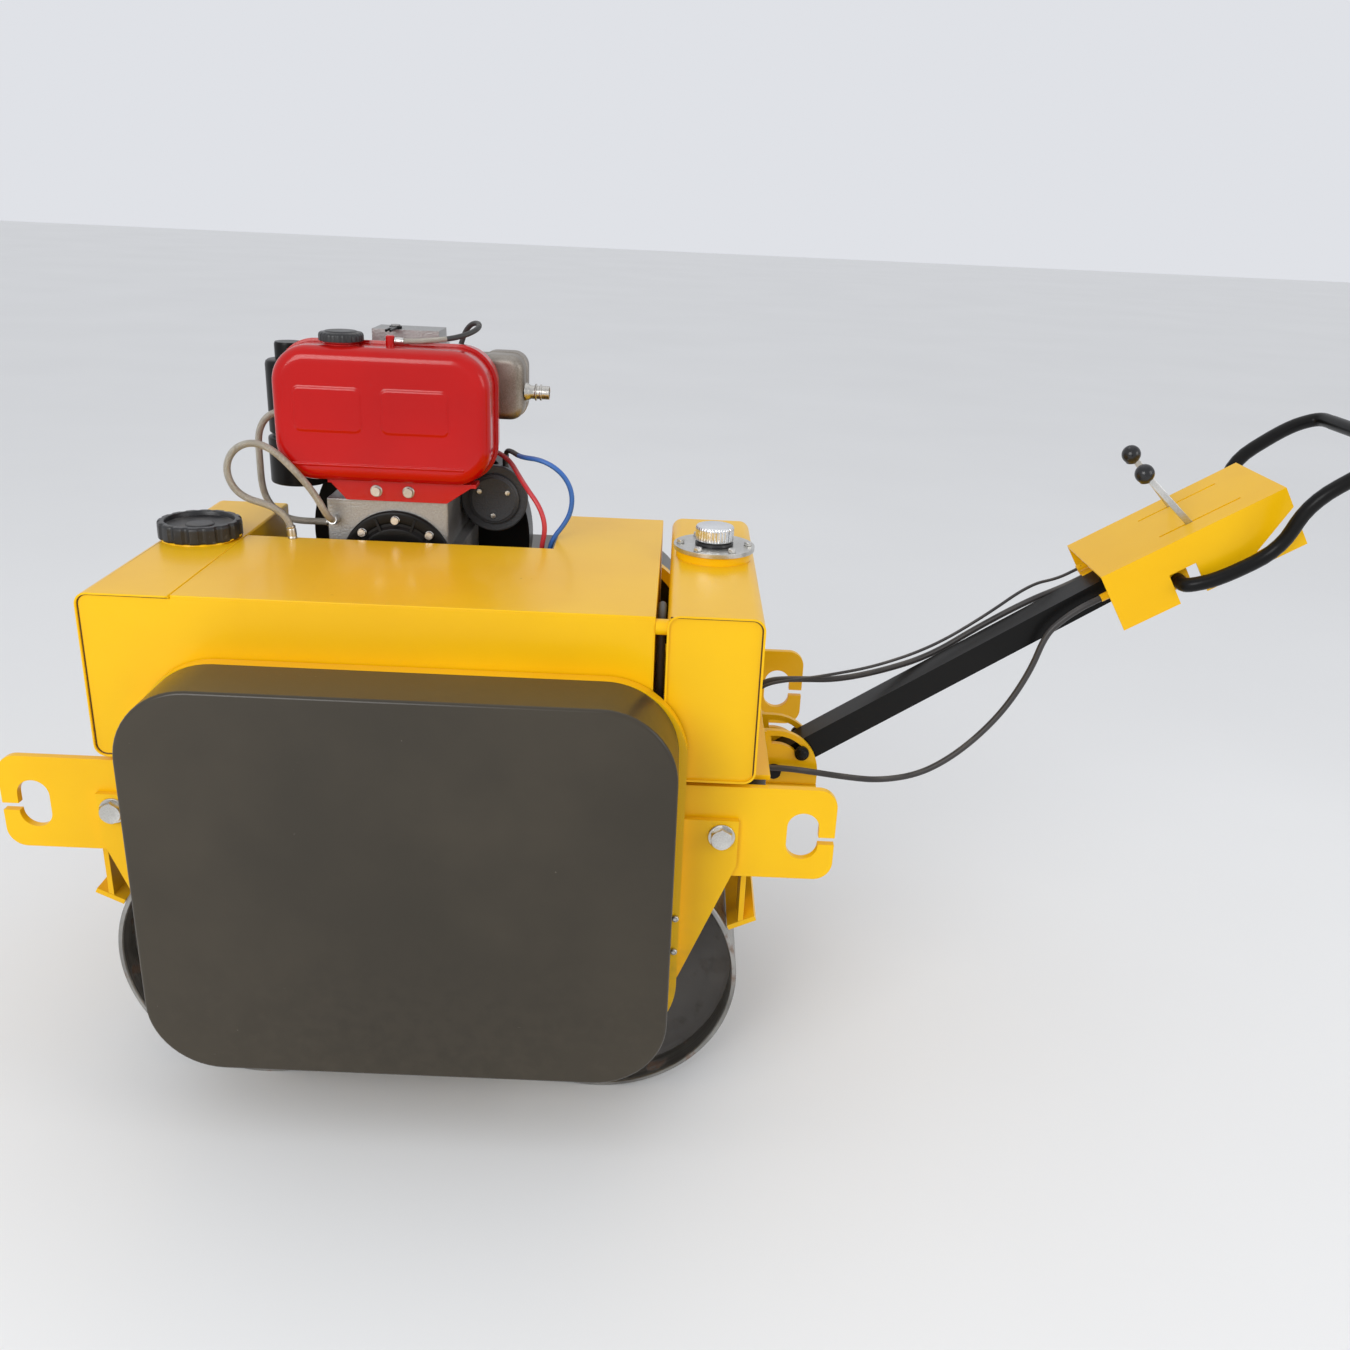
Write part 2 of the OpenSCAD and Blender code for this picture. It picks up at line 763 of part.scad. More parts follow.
// Idler gears run on pins fixed in the near side plate
module front_idler_gear() color("gray") gear(-1, idler_pin_d + 2 * run_fit);
module rear_idler_gear() color("gray") gear(1, idler_pin_d + 2 * run_fit);
module idler_pins() color("silver") both_ends() translate([2 * gear_r, 0, drum_r]) {
    rod_y(idler_pin_d, -gear_out_y - shaft_stub, -plate_in_y);
    rod_y(pin_collar_d, -gear_in_y + seat_gap, -side_y);
    rod_y(pin_collar_d, -gear_out_y - shaft_stub - seat_gap, -gear_out_y - seat_gap);
}

// Travel motor inside the near side plate, its gear outside
module travel_gear() color("gray") {
    gear(0, 0);
    translate([0, 0, drum_r])
        rod_y(motor_shaft_d, -gear_out_y - shaft_stub, -plate_in_y + shaft_grip);
}
module travel_motor() color("darkslategray") translate([0, 0, drum_r]) difference() {
    union() {
        slab_y(-plate_in_y, -plate_in_y + motor_len) square(motor_w, center = true);
        rod_y(motor_nose_d, -plate_in_y + motor_len, -plate_in_y + motor_len + motor_nose_len);
    }
    rod_y(motor_shaft_d + 2 * run_fit, -plate_in_y - overrun, -plate_in_y + shaft_grip + overrun);
}

// Flanged bearings of the drum shafts
module drum_bearings() color("darkgray") both_ends() both_sides()
    translate([axle_x, 0, drum_r]) difference() {
        union() {
            rod_y(bearing_flange_d, side_y, side_y + bearing_flange_t);
            rod_y(bearing_body_d, side_y - bearing_len, side_y);
        }
        rod_y(shaft_d + 2 * run_fit, side_y - bearing_len - overrun,
            side_y + bearing_flange_t + overrun);
    }

// Exciter: a shaft with two half-round weights in a housing between the side plates
module exciter_housing() color("firebrick") translate([0, 0, exciter_z]) {
    difference() {
        rod_y(exciter_d, -plate_in_y, plate_in_y);
        rod_y(exciter_bore_d, -plate_in_y - overrun, plate_in_y + overrun);
    }
    both_sides() difference() {
        rod_y(exciter_bore_d + exciter_wall, plate_in_y - exciter_bearing_w, plate_in_y);
        rod_y(exciter_shaft_d + 2 * run_fit, plate_in_y - exciter_bearing_w - overrun,
            plate_in_y + overrun);
    }
}
module exciter_shaft() color("silver") translate([0, 0, exciter_z]) {
    rod_y(exciter_shaft_d, -plate_in_y + overrun, plate_in_y - overrun);
    rod_y(exciter_stub_d, plate_in_y - 2 * overrun, plate_in_y + exciter_stub_len);
    both_sides() slab_y(weight_y - weight_len / 2, weight_y + weight_len / 2) intersection() {
        circle(weight_r);
        translate([-weight_r, -weight_r]) square([2 * weight_r, weight_r]);
    }
}
module vibration_motor() color("darkslategray") translate([0, 0, exciter_z]) difference() {
    union() {
        rod_y(vib_motor_d, side_y, side_y + vib_motor_len);
        translate([0, side_y + vib_motor_len / 2, 0])
            cylinder(d = vib_port_d, h = vib_motor_d / 2 + vib_port_h);
    }
    rod_y(exciter_stub_d + 2 * run_fit, side_y - overrun,
        plate_in_y + exciter_stub_len + overrun);
}

// Side plates
module plate_outline() {
    polygon([[-plate_foot_x, plate_foot_z], [plate_foot_x, plate_foot_z],
        [plate_knee_x, plate_knee_z], [plate_len / 2, plate_shoulder_z],
        [plate_len / 2, plate_top_z], [-plate_len / 2, plate_top_z],
        [-plate_len / 2, plate_shoulder_z], [-plate_knee_x, plate_knee_z]]);
}
module bolt_holes() {
    for (x = [-1, 1]) {
        for (bx = [hook_bolt_in_x, hook_bolt_out_x])
            translate([x * bx, hook_bolt_z]) circle(d = hook_bolt_d + 2 * bolt_fit);
        for (z = cover_bolt_zs)
            translate([x * cover_bolt_x, z]) circle(d = cover_bolt_d + 2 * bolt_fit);
        translate([x * axle_x, drum_r]) circle(d = bearing_body_d + 2 * run_fit);
    }
}
module side_plates() color("gold") {
    slab_y(-side_y, -plate_in_y) difference() {
        plate_outline();
        bolt_holes();
        for (x = [-1, 1]) translate([x * 2 * gear_r, drum_r]) circle(d = idler_pin_d + 2 * run_fit);
        translate([0, drum_r]) circle(d = motor_shaft_d + 2 * shaft_way);
    }
    slab_y(plate_in_y, side_y) difference() {
        plate_outline();
        bolt_holes();
        translate([0, exciter_z]) circle(d = exciter_stub_d + 2 * shaft_way);
    }
}

// Hook plates with a C slot, bolted inside the side plates
module hook_outline() {
    difference() {
        union() {
            translate([hook_root, hook_z]) square([hook_reach - hook_root - hook_r, hook_h]);
            translate([hook_root + hook_r, hook_z + hook_r])
                square([hook_reach - hook_root - hook_r, hook_h - 2 * hook_r]);
            for (z = [hook_z + hook_r, hook_z + hook_h - hook_r])
                translate([hook_reach - hook_r, z]) circle(hook_r);
        }
        translate([slot_x - slot_w / 2, slot_z - slot_h / 2 + slot_w / 2])
            square([slot_w, slot_h - slot_w]);
        for (z = [-1, 1]) translate([slot_x, slot_z + z * (slot_h - slot_w) / 2])
            circle(d = slot_w);
        translate([slot_x, slot_z - mouth_drop - mouth_h / 2])
            square([hook_reach - slot_x + overrun, mouth_h]);
        for (bx = [hook_bolt_in_x, hook_bolt_out_x])
            translate([bx, hook_bolt_z]) circle(d = hook_bolt_d + 2 * bolt_fit);
    }
}
module lifting_hooks() color("gold") both_ends() both_sides()
    slab_y(hook_in_y, plate_in_y) hook_outline();
module hook_bolts() color("dimgray") both_ends() both_sides()
    for (bx = [hook_bolt_in_x, hook_bolt_out_x]) translate([bx, 0, hook_bolt_z]) {
        rod_y(hook_bolt_d, hook_in_y, side_y);
        slab_y(side_y, side_y + hook_bolt_head)
            circle(d = hook_bolt_af / cos(30), $fn = 6);
    }

// Cross beams: welded box sections between the hook plates
module beam(x, w) {
    translate([x, 0, 0]) slab_y(-hook_in_y, hook_in_y) difference() {
        translate([0, beam_z]) square([w, beam_h]);
        translate([beam_wall, beam_z + beam_wall])
            square([w - 2 * beam_wall, beam_h - 2 * beam_wall]);
    }
}
module cross_beams() color("gold") {
    beam(-beam_x - front_beam_w, front_beam_w);
    beam(beam_x, rear_beam_w);
}

// Scrapers: blades near the drums, hung from the beams on straps
module scraper(strap_top_z) {
    translate([axle_x, -scraper_len / 2, drum_r]) rotate([0, -scraper_angle, 0])
        translate([drum_r + scraper_gap, 0, -scraper_t / 2])
        cube([scraper_h, scraper_len, scraper_t]);
    for (y = [-1, 1]) translate([strap_x, y * strap_y - strap_w / 2, strap_foot_z])
        cube([strap_t, strap_w, strap_top_z - strap_foot_z]);
}
module drum_scrapers() color("gold") {
    mirror([1, 0, 0]) scraper(beam_z + strap_lap);
    scraper(beam_z);
}

// Rubber mounts carry the bed on the beams
module rubber_mounts() color("black") both_sides() for (x = [-front_mount_x, rear_mount_x])
    translate([x, mount_y, beam_top_z]) cylinder(d = mount_d, h = bed_z - bed_t - beam_top_z);

// Bed plate with the engine's rails welded on
module bed_plate() color("gold") {
    difference() {
        block([bed_inset - body_front_x, -bed_half_y, bed_z - bed_t],
            [beam_x + rear_beam_w, bed_half_y, bed_z]);
        translate([pipe_x, pipe_y, 0]) cylinder(d = pipe_d + 4 * overrun, h = 2 * bed_z);
    }
    for (x = [case_left_x + rail_w / 2, case_right_x - 1.5 * rail_w])
        translate([x, rail_y, bed_z]) cube([rail_w, rail_len, rail_h]);
}

// Rims and side covers
module cover_plan(grow) {
    round_rect([-cover_len / 2 - grow, cover_z - grow],
        [cover_len / 2 + grow, cover_top_z + grow], cover_r + grow);
}
module cover_rims() color("gold") both_sides() slab_y(side_y, cover_in_y) difference() {
    cover_plan(rim_lip);
    cover_plan(-rim_inset);
    for (x = [-1, 1], z = cover_bolt_zs)
        translate([x * cover_bolt_x, z]) circle(d = cover_bolt_d + 2 * bolt_fit);
}
module cover() {
    slab_y(cover_in_y, cover_out_y - cover_t) difference() {
        cover_plan(0);
        cover_plan(-cover_t);
    }
    slab_y(cover_out_y - cover_t, cover_out_y) cover_plan(0);
}
module near_cover() color([0.26, 0.23, 0.2]) mirror([0, 1, 0]) cover();
module far_cover() color([0.26, 0.23, 0.2]) cover();
module cover_bolts() color("silver") both_ends() both_sides() for (z = cover_bolt_zs)
    translate([cover_bolt_x, 0, z]) {
        rod_y(cover_bolt_d, plate_in_y, cover_in_y);
        rod_y(cover_bolt_head_d, cover_in_y, cover_in_y + cover_bolt_head_t);
    }

// Tanks are sheets wrapped round end plates that sit a little inside them
module wrapped_tank(x0, x1, y0, y1, z0, z1) {
    difference() {
        slab_y(y0, y1) round_rect([x0, z0], [x1, z1], wrap_r);
        for (y = [y0 - overrun, y1 - wrap_lip])
            slab_y(y, y + wrap_lip + overrun)
                round_rect([x0 + sheet_t, z0 + sheet_t], [x1 - sheet_t, z1 - sheet_t],
                    wrap_r - sheet_t);
        slab_y(y0 + wrap_lip + sheet_t, y1 - wrap_lip - sheet_t)
            round_rect([x0 + sheet_t, z0 + sheet_t], [x1 - sheet_t, z1 - sheet_t],
                wrap_r - sheet_t);
    }
}
module water_tank() color("gold") {
    difference() {
        wrapped_tank(-body_front_x, seam_x, body_near_y, body_far_y, bed_z, body_top_z);
        translate([water_cap_x, water_cap_y, body_top_z - sheet_t - overrun])
            cylinder(d = neck_bore_d, h = sheet_t + 2 * overrun);
        translate([pipe_x, pipe_y, bed_z - overrun])
            cylinder(d = pipe_d - 2 * pipe_wall, h = sheet_t + 2 * overrun);
    }
    translate([water_cap_x, water_cap_y, body_top_z]) difference() {
        union() {
            cylinder(d = neck_bore_d + 2 * neck_wall, h = neck_h);
            cylinder(d = water_cap_d - 2 * neck_wall, h = cap_ring_h);
        }
        translate([0, 0, -overrun]) cylinder(d = neck_bore_d, h = neck_h + 2 * overrun);
    }
}
module water_cap() color("gold") translate([water_cap_x, water_cap_y, body_top_z + cap_ring_h + seat_gap])
    difference() {
        cylinder(d = water_cap_d, h = water_cap_h);
        translate([0, 0, -overrun]) cylinder(d = neck_bore_d + 2 * neck_wall + 4 * seat_gap,
            h = neck_h + overrun);
        translate([0, 0, water_cap_h - cap_dish])
            cylinder(d = water_cap_d - 3 * flute_d, h = cap_dish + overrun);
        for (i = [0 : cap_flutes - 1]) rotate([0, 0, (i + 0.5) * 360 / cap_flutes])
            translate([water_cap_d / 2 + flute_d / 4, 0, -overrun])
            cylinder(d = flute_d, h = water_cap_h + 2 * overrun);
    }

// Engine hood: one folded sheet, open over the engine
module engine_hood() color("gold") {
    near_y = body_near_y + wrap_lip;
    low_z = body_top_z - sheet_t;
    block([seam_x, near_y, bed_z], [hood_rear_x, near_y + sheet_t, body_top_z]);
    block([hood_rear_x - sheet_t, near_y, bed_z], [hood_rear_x, body_far_y, body_top_z]);
    block([seam_x, near_y, low_z], [hood_rear_x, opening_y, body_top_z]);
    block([opening_x, opening_y - overrun, low_z], [hood_rear_x, body_far_y, body_top_z]);
    block([opening_x, body_far_y - sheet_t, bed_z], [hood_rear_x, body_far_y, body_top_z]);
    block([seam_x, opening_y - sheet_t, body_top_z - opening_fold],
        [opening_x + sheet_t, opening_y, body_top_z]);
    block([opening_x, opening_y - sheet_t, body_top_z - opening_fold],
        [opening_x + sheet_t, body_far_y, body_top_z]);
}

// Hydraulic tank behind the hood, with its collar, flange and cap
module hydraulic_tank() color("gold") {
    difference() {
        wrapped_tank(oil_tank_x, oil_tank_x + oil_tank_len, body_near_y, body_far_y, bed_z,
            oil_top_z);
        translate([flange_x, 0, oil_top_z - sheet_t - overrun])
            cylinder(d = flange_bore_d, h = sheet_t + 2 * overrun);
    }
    translate([flange_x, 0, oil_top_z]) difference() {
        cylinder(d = collar_d, h = collar_h);
        translate([0, 0, -overrun]) cylinder(d = flange_bore_d, h = collar_h + 2 * overrun);
        for (i = [0 : flange_bolts_n - 1]) rotate([0, 0, i * 360 / flange_bolts_n])
            translate([flange_bolt_r, 0, 0])
            cylinder(d = flange_bolt_d + 2 * bolt_fit, h = collar_h + overrun);
    }
    translate([hood_rear_x, spacer_y, spacer_z]) rotate([0, 90, 0])
        cylinder(d = spacer_d, h = tank_gap + sheet_t);
}
module filler_flange() color("silver") translate([flange_x, 0, oil_top_z + collar_h])
    difference() {
        cylinder(d = flange_d, h = flange_t);
        translate([0, 0, -overrun]) cylinder(d = flange_bore_d, h = flange_t + 2 * overrun);
        for (i = [0 : flange_bolts_n - 1]) rotate([0, 0, i * 360 / flange_bolts_n])
            translate([flange_bolt_r, 0, -overrun])
            cylinder(d = flange_bolt_d + 2 * bolt_fit, h = flange_t + 2 * overrun);
    }
module flange_bolts() color("dimgray") translate([flange_x, 0, flange_top_z])
    for (i = [0 : flange_bolts_n - 1]) rotate([0, 0, i * 360 / flange_bolts_n])
        translate([flange_bolt_r, 0, 0]) {
            cylinder(d = flange_bolt_head_d, h = flange_bolt_head_t);
            translate([0, 0, -flange_t - collar_h + overrun])
                cylinder(d = flange_bolt_d, h = flange_t + collar_h);
        }
module filler_cap() color("lightgray") translate([flange_x, 0, flange_top_z + seat_gap]) {
    cylinder(d = cap_neck, h = oil_cap_h);
    translate([0, 0, cap_bead]) cylinder(d = oil_cap_d, h = oil_cap_h - cap_bead);
    translate([0, 0, -flange_t]) cylinder(d = flange_bore_d - 2 * seat_gap, h = flange_t + overrun);
}

// Water pipes: a drop from the tank, a main along the machine and a sprinkler at each drum
module water_pipes() color("gray") {
    translate([pipe_x, pipe_y, pipe_z]) cylinder(d = pipe_d, h = bed_z - pipe_z);
    translate([pipe_x, pipe_y, pipe_z - 0.7 * pipe_d]) cylinder(d = 1.4 * pipe_d, h = 1.4 * pipe_d);
    translate([pipe_x, pipe_y, pipe_z]) rotate([0, 90, 0])
        cylinder(d = pipe_d, h = axle_x + pipe_d / 2 - pipe_x);
    for (x = [-axle_x, axle_x]) translate([x, 0, sprinkler_z]) {
        rod_y(sprinkler_d, -hook_in_y, hook_in_y);
        translate([0, pipe_y, 0]) cylinder(d = pipe_d, h = pipe_z - sprinkler_z);
    }
}
module battery() color("black") {
    x = hood_rear_x - sheet_t - battery_w - battery_gap;
    block([x, battery_y, bed_z], [x + battery_w, battery_y + battery_depth, bed_z + battery_h]);
    for (y = [0.2, 0.8]) translate([x + 0.2 * battery_w, battery_y + y * battery_depth,
        bed_z + battery_h]) cylinder(d = post_d, h = post_h);
}

// Engine block on its rails
module crankcase() color("silver") difference() {
    union() {
        block([case_left_x, case_y, case_base_z], [case_right_x, case_far_y, case_step_z]);
        block([case_left_x, case_y, case_step_z - overrun],
            [case_right_x - case_step, case_far_y, case_top_z]);
    }
    translate([-crank_x, 0, crank_z])
        rod_y(crank_bore_d, case_y - overrun, case_far_y + overrun);
}
module pto_cover() color("gray") translate([-crank_x, 0, crank_z]) {
    difference() {
        rod_y(pto_d, case_y - pto_t, case_y);
        rod_y(crank_bore_d, case_y - pto_t - overrun, case_y + overrun);
    }
    for (i = [0 : pto_bolts - 1]) rotate([0, i * 360 / pto_bolts, 0])
        translate([pto_bolt_r, 0, 0]) rod_y(pto_bolt_d, case_y - 1.5 * pto_t, case_y - pto_t);
}
module crankshaft() color("dimgray") translate([-crank_x, 0, crank_z]) {
    rod_y(crank_d, pump_y - pump_grip, flywheel_y + flywheel_w);
    rod_y(coupling_d, coupling_y - coupling_len, coupling_y);
    rod_y(flywheel_d, flywheel_y, flywheel_y + flywheel_w);
}
module hydraulic_pump() color("darkslategray") {
    difference() {
        block([-crank_x - pump_w / 2, pump_y - pump_len, crank_z - pump_w / 2],
            [-crank_x + pump_w / 2, pump_y, crank_z + pump_w / 2]);
        translate([-crank_x, 0, crank_z])
            rod_y(crank_bore_d, pump_y - pump_grip - overrun, pump_y + overrun);
    }
    block([-crank_x - pump_w / 2, pump_y - pump_foot_t, bed_z],
        [-crank_x + pump_w / 2, pump_y, crank_z - pump_w / 2 + overrun]);
}

// Air cooled cylinder with fins, head and rocker cover
module engine_cylinder() color("gray") {
    difference() {
        union() {
            translate([bore_x, bore_y, case_top_z])
                cylinder(d = barrel_d, h = head_z - case_top_z);
            for (i = [0 : fin_count - 1])
                translate([bore_x - fin_w / 2, bore_y - fin_depth / 2,
                    case_top_z + (i + 0.8) * fin_pitch]) cube([fin_w, fin_depth, fin_t]);
        }
        translate([bore_x, bore_y, head_z]) cylinder(d = barrel_d, h = fin_pitch);
    }
    block([bore_x - head_w / 2, bore_y - head_depth / 2, head_z],
        [bore_x + head_w / 2, bore_y + head_depth / 2, head_z + head_h]);
    block([bore_x - rocker_w / 2, bore_y - rocker_depth / 2, head_z + head_h],
        [bore_x + rocker_w / 2, bore_y + rocker_depth / 2, head_z + head_h + rocker_h]);
    block([bore_x - rocker_w / 2 - rocker_lip, bore_y - rocker_depth / 2 - rocker_lip,
        head_z + head_h], [bore_x + rocker_w / 2 + rocker_lip,
        bore_y + rocker_depth / 2 + rocker_lip, head_z + head_h + rocker_lip]);
    translate([decomp_x, decomp_y, head_z + head_h])
        cylinder(d = lever_pin_d, h = rocker_h + decomp_t + 2 * seat_gap);
    translate([decomp_x, decomp_y, head_z + head_h + rocker_h + decomp_t + 2 * seat_gap])
        cylinder(d = 1.5 * lever_pin_d, h = decomp_t / 2);
}
module decompression_lever() color("black")
    translate([decomp_x, decomp_y, head_z + head_h + rocker_h + seat_gap]) difference() {
        union() {
            cylinder(d = 2 * lever_pin_d, h = decomp_t);
            translate([-decomp_w / 2, -decomp_len, 0]) cube([decomp_w, decomp_len, decomp_t]);
        }
        translate([0, 0, -overrun])
            cylinder(d = lever_pin_d + 2 * run_fit, h = decomp_t + 2 * overrun);
        translate([-decomp_w / 5, -decomp_len - overrun, -overrun])
            cube([0.4 * decomp_w, decomp_len / 3, decomp_t + 2 * overrun]);
    }

// Fuel tank: two pressed halves seamed round the middle, on a folded bracket
module fuel_outline(grow) {
    round_rect([fuel_left_x - grow, fuel_z - grow],
        [fuel_left_x + fuel_w + grow, fuel_z + fuel_h + grow], fuel_r + grow);
}
module fuel_tank() color("firebrick") difference() {
    union() {
        slab_y(fuel_y + fuel_panel, fuel_y + fuel_depth) fuel_outline(0);
        slab_y(fuel_y + (fuel_depth - fuel_seam_t) / 2, fuel_y + (fuel_depth + fuel_seam_t) / 2)
            fuel_outline(fuel_seam);
        for (s = fuel_panels) slab_y(fuel_y, fuel_y + fuel_panel + fuel_wall)
            round_rect([fuel_left_x + s[0] * fuel_w, fuel_panel_z],
                [fuel_left_x + s[1] * fuel_w, fuel_panel_z + fuel_panel_h], 2 * fuel_bead_h);
        slab_y(fuel_y, fuel_y + fuel_panel + fuel_wall)
            round_rect([fuel_left_x + fuel_bead_shares[0] * fuel_w + fuel_bead_h,
                fuel_z + 4 * fuel_bead_h], [fuel_left_x + fuel_bead_shares[1] * fuel_w,
                fuel_z + 5 * fuel_bead_h], fuel_bead_h / 2 - run_fit);
        translate([fuel_cap_x, fuel_cap_y, fuel_z + fuel_h - fuel_wall])
            cylinder(d = fuel_neck_d, h = fuel_wall + fuel_neck_h);
        translate([return_line[0][0] - return_post_d / 2, return_line[0][1],
            fuel_z + fuel_h - fuel_wall]) cylinder(d = return_post_d, h = return_post_h);
    }
    slab_y(fuel_y + fuel_panel + 2 * fuel_wall, fuel_y + fuel_depth - fuel_wall)
        fuel_outline(-fuel_wall);
    translate([fuel_cap_x, fuel_cap_y, fuel_z + fuel_h - overrun - fuel_wall])
        cylinder(d = fuel_neck_d - 2 * fuel_wall, h = fuel_neck_h + 4 * overrun);
}
module tank_bracket() color("firebrick") {
    x0 = fuel_left_x + bracket_shares[0] * fuel_w;
    x1 = fuel_left_x + bracket_shares[1] * fuel_w;
    x2 = fuel_left_x + bracket_shares[2] * fuel_w;
    x3 = fuel_left_x + bracket_shares[3] * fuel_w;
    slab_y(bracket_y, bracket_y + bracket_plate_t)
        polygon([[x0, fuel_z], [x1, case_top_z], [x2, case_top_z], [x3, fuel_z]]);
    block([x0, bracket_y, fuel_z - bracket_plate_t], [x3, bracket_y + bracket_flange, fuel_z]);
    block([x1, bracket_y, case_top_z],
        [x2, bracket_y + bracket_flange, case_top_z + bracket_plate_t]);
    for (s = bracket_bolt_shares) translate([x1 + s * (x2 - x1), 0, (case_top_z + fuel_z) / 2])
        slab_y(bracket_y - bracket_bolt_t, bracket_y) circle(d = bracket_bolt_d, $fn = 6);
}
module fuel_cap() color("black")
    translate([fuel_cap_x, fuel_cap_y, fuel_z + fuel_h + fuel_seam + seat_gap]) difference() {
        cylinder(d = fuel_cap_d, h = fuel_cap_h);
        translate([0, 0, -overrun])
            cylinder(d = fuel_neck_d + 4 * seat_gap, h = fuel_neck_h - fuel_seam + overrun);
    }

// Air cleaner, with its oil bowl and the pipe into the head
module air_cleaner() color([0.2, 0.2, 0.2]) {
    pipe_z = head_z + intake_d / 2 - intake_drop;
    translate([cleaner_x, cleaner_y, cleaner_z]) cylinder(d = cleaner_d, h = cleaner_h);
    translate([cleaner_x + bowl_shift, cleaner_y, cleaner_z - bowl_h])
        cylinder(d = bowl_d, h = bowl_h);
    translate([cleaner_x, cleaner_y, cleaner_z + cleaner_h - overrun])
        cylinder(d = 1.3 * intake_d, h = pipe_z + 0.6 * intake_d - cleaner_z - cleaner_h + overrun);
    translate([cleaner_x, cleaner_y, pipe_z]) rotate([0, 90, 0])
        cylinder(d = intake_d, h = bore_x - head_w / 2 - cleaner_x);
    translate([cleaner_x, 0, cleaner_z + wing_d])
        rod_y(wing_d, cleaner_y - cleaner_d / 2 - wing_t, cleaner_y - cleaner_d / 3);
}

// Muffler on the exhaust pipe from the head
module muffler() color([0.3, 0.28, 0.27]) {
    pipe_z = head_z + exhaust_d / 2;
    slab_y(muffler_y - muffler_depth / 2, muffler_y + muffler_depth / 2)
        round_rect([muffler_x - muffler_w / 2, muffler_z],
            [muffler_x + muffler_w / 2, muffler_z + muffler_h], muffler_r);
    translate([bore_x + head_w / 2, muffler_y, pipe_z]) rotate([0, 90, 0])
        cylinder(d = exhaust_d, h = muffler_x - bore_x - head_w / 2);
    translate([muffler_x, muffler_y - muffler_depth / 4, outlet_z]) rotate([0, 90, 0])
        difference() {
            cylinder(d = tail_d, h = muffler_w / 2 + tail_len);
            translate([0, 0, muffler_w / 2 + overrun])
                cylinder(d = tail_d - 2 * tail_wall, h = tail_len);
        }
}

// Blower shroud round the flywheel, open at its inlet
module blower_shroud() color("dimgray") translate([-crank_x, 0, crank_z]) difference() {
    rod_y(2 * shroud_r, case_far_y, case_far_y + shroud_depth);
    rod_y(2 * shroud_r - 2 * shroud_t, case_far_y + shroud_t,
        case_far_y + shroud_depth - shroud_t);
    rod_y(coupling_d, case_far_y - overrun, case_far_y + 2 * shroud_t);
    rod_y(shroud_inlet_d, case_far_y + shroud_depth - 2 * shroud_t,
        case_far_y + shroud_depth + overrun);
}
module starter_motor() color("black") {
    translate([starter_x, 0, starter_z]) {
        rod_y(starter_d, case_far_y - starter_len, case_far_y);
        rod_y(starter_ring_d, case_far_y - starter_len + starter_ring_t,
            case_far_y - starter_len + 2 * starter_ring_t);
    }
    for (x = [-1, 1]) translate([starter_x + x * starter_d / 6, case_far_y - starter_len / 2,
        starter_z]) cylinder(d = terminal_d, h = starter_d / 2 + terminal_h);
}

// Hoses and leads
module oil_hoses() color("black") {
    tube(bend_path(riser_line, 16, 3), oil_hose_r, 8, [1, 0.1, 1]);
    tube(bend_path(return_line, 16, 3), return_r, 8, [0, 1, 0.2]);
}
module fuel_hoses() color("gray") {
    tube(bend_path(fuel_hose_low, 16, 3), fuel_hose_r, 8, [0, 1, 0.1]);
    tube(bend_path(fuel_hose_side, 16, 3), fuel_hose_r, 8, [0, 1, 0.1]);
}
module battery_leads() color("royalblue") {
    tube(bend_path(blue_lead, 16, 3), lead_r, 8, [1, 0.1, 0.3]);
    tube(bend_path(red_lead, 16, 3), lead_r, 8, [1, 0.1, 0.3]);
}

// Pivot bracket on the rear beam: two rounded plates with arc slots, on a foot and lips
module bracket_outline() {
    difference() {
        union() {
            translate([bracket_back_x - pivot_x, bracket_floor_z - pivot_z])
                square([pivot_x - bracket_back_x, bracket_r + pivot_z - bracket_floor_z]);
            translate([0, bracket_floor_z - pivot_z])
                square([bracket_r, pivot_z - bracket_floor_z]);
            intersection() {
                circle(bracket_r);
                square(2 * bracket_r);
            }
        }
        circle(d = pivot_d + 2 * run_fit);
        intersection() {
            difference() {
                circle(arc_r + clamp_d / 2 + clamp_play);
                circle(arc_r - clamp_d / 2 - clamp_play);
            }
            polygon([[0, 0], for (k = [0 : 4]) 2 * arc_r
                * [cos(slot_low_deg + k * slot_deg / 4), sin(slot_low_deg + k * slot_deg / 4)]]);
        }
    }
}
module pivot_bracket() color("gold") {
    both_sides() translate([pivot_x, 0, pivot_z]) slab_y(bracket_in_y, bracket_out_y)
        bracket_outline();
    both_sides() block([bracket_back_x, bracket_in_y, bracket_floor_z - bracket_foot_t],
        [bracket_back_x + bracket_back_t, bracket_out_y + bracket_lip, pivot_z + bracket_r]);
    block([bracket_back_x, -bracket_out_y - bracket_lip, bracket_floor_z - bracket_foot_t],
        [pivot_x + bracket_r, bracket_out_y + bracket_lip, bracket_floor_z]);
}
module pivot_bolt() color([0.1, 0.1, 0.1]) translate([pivot_x, 0, pivot_z]) {
    rod_y(pivot_d, -bracket_out_y - pivot_head_t, bracket_out_y + pivot_head_t);
    both_sides() rod_y(pivot_head_d, bracket_out_y, bracket_out_y + pivot_head_t);
}

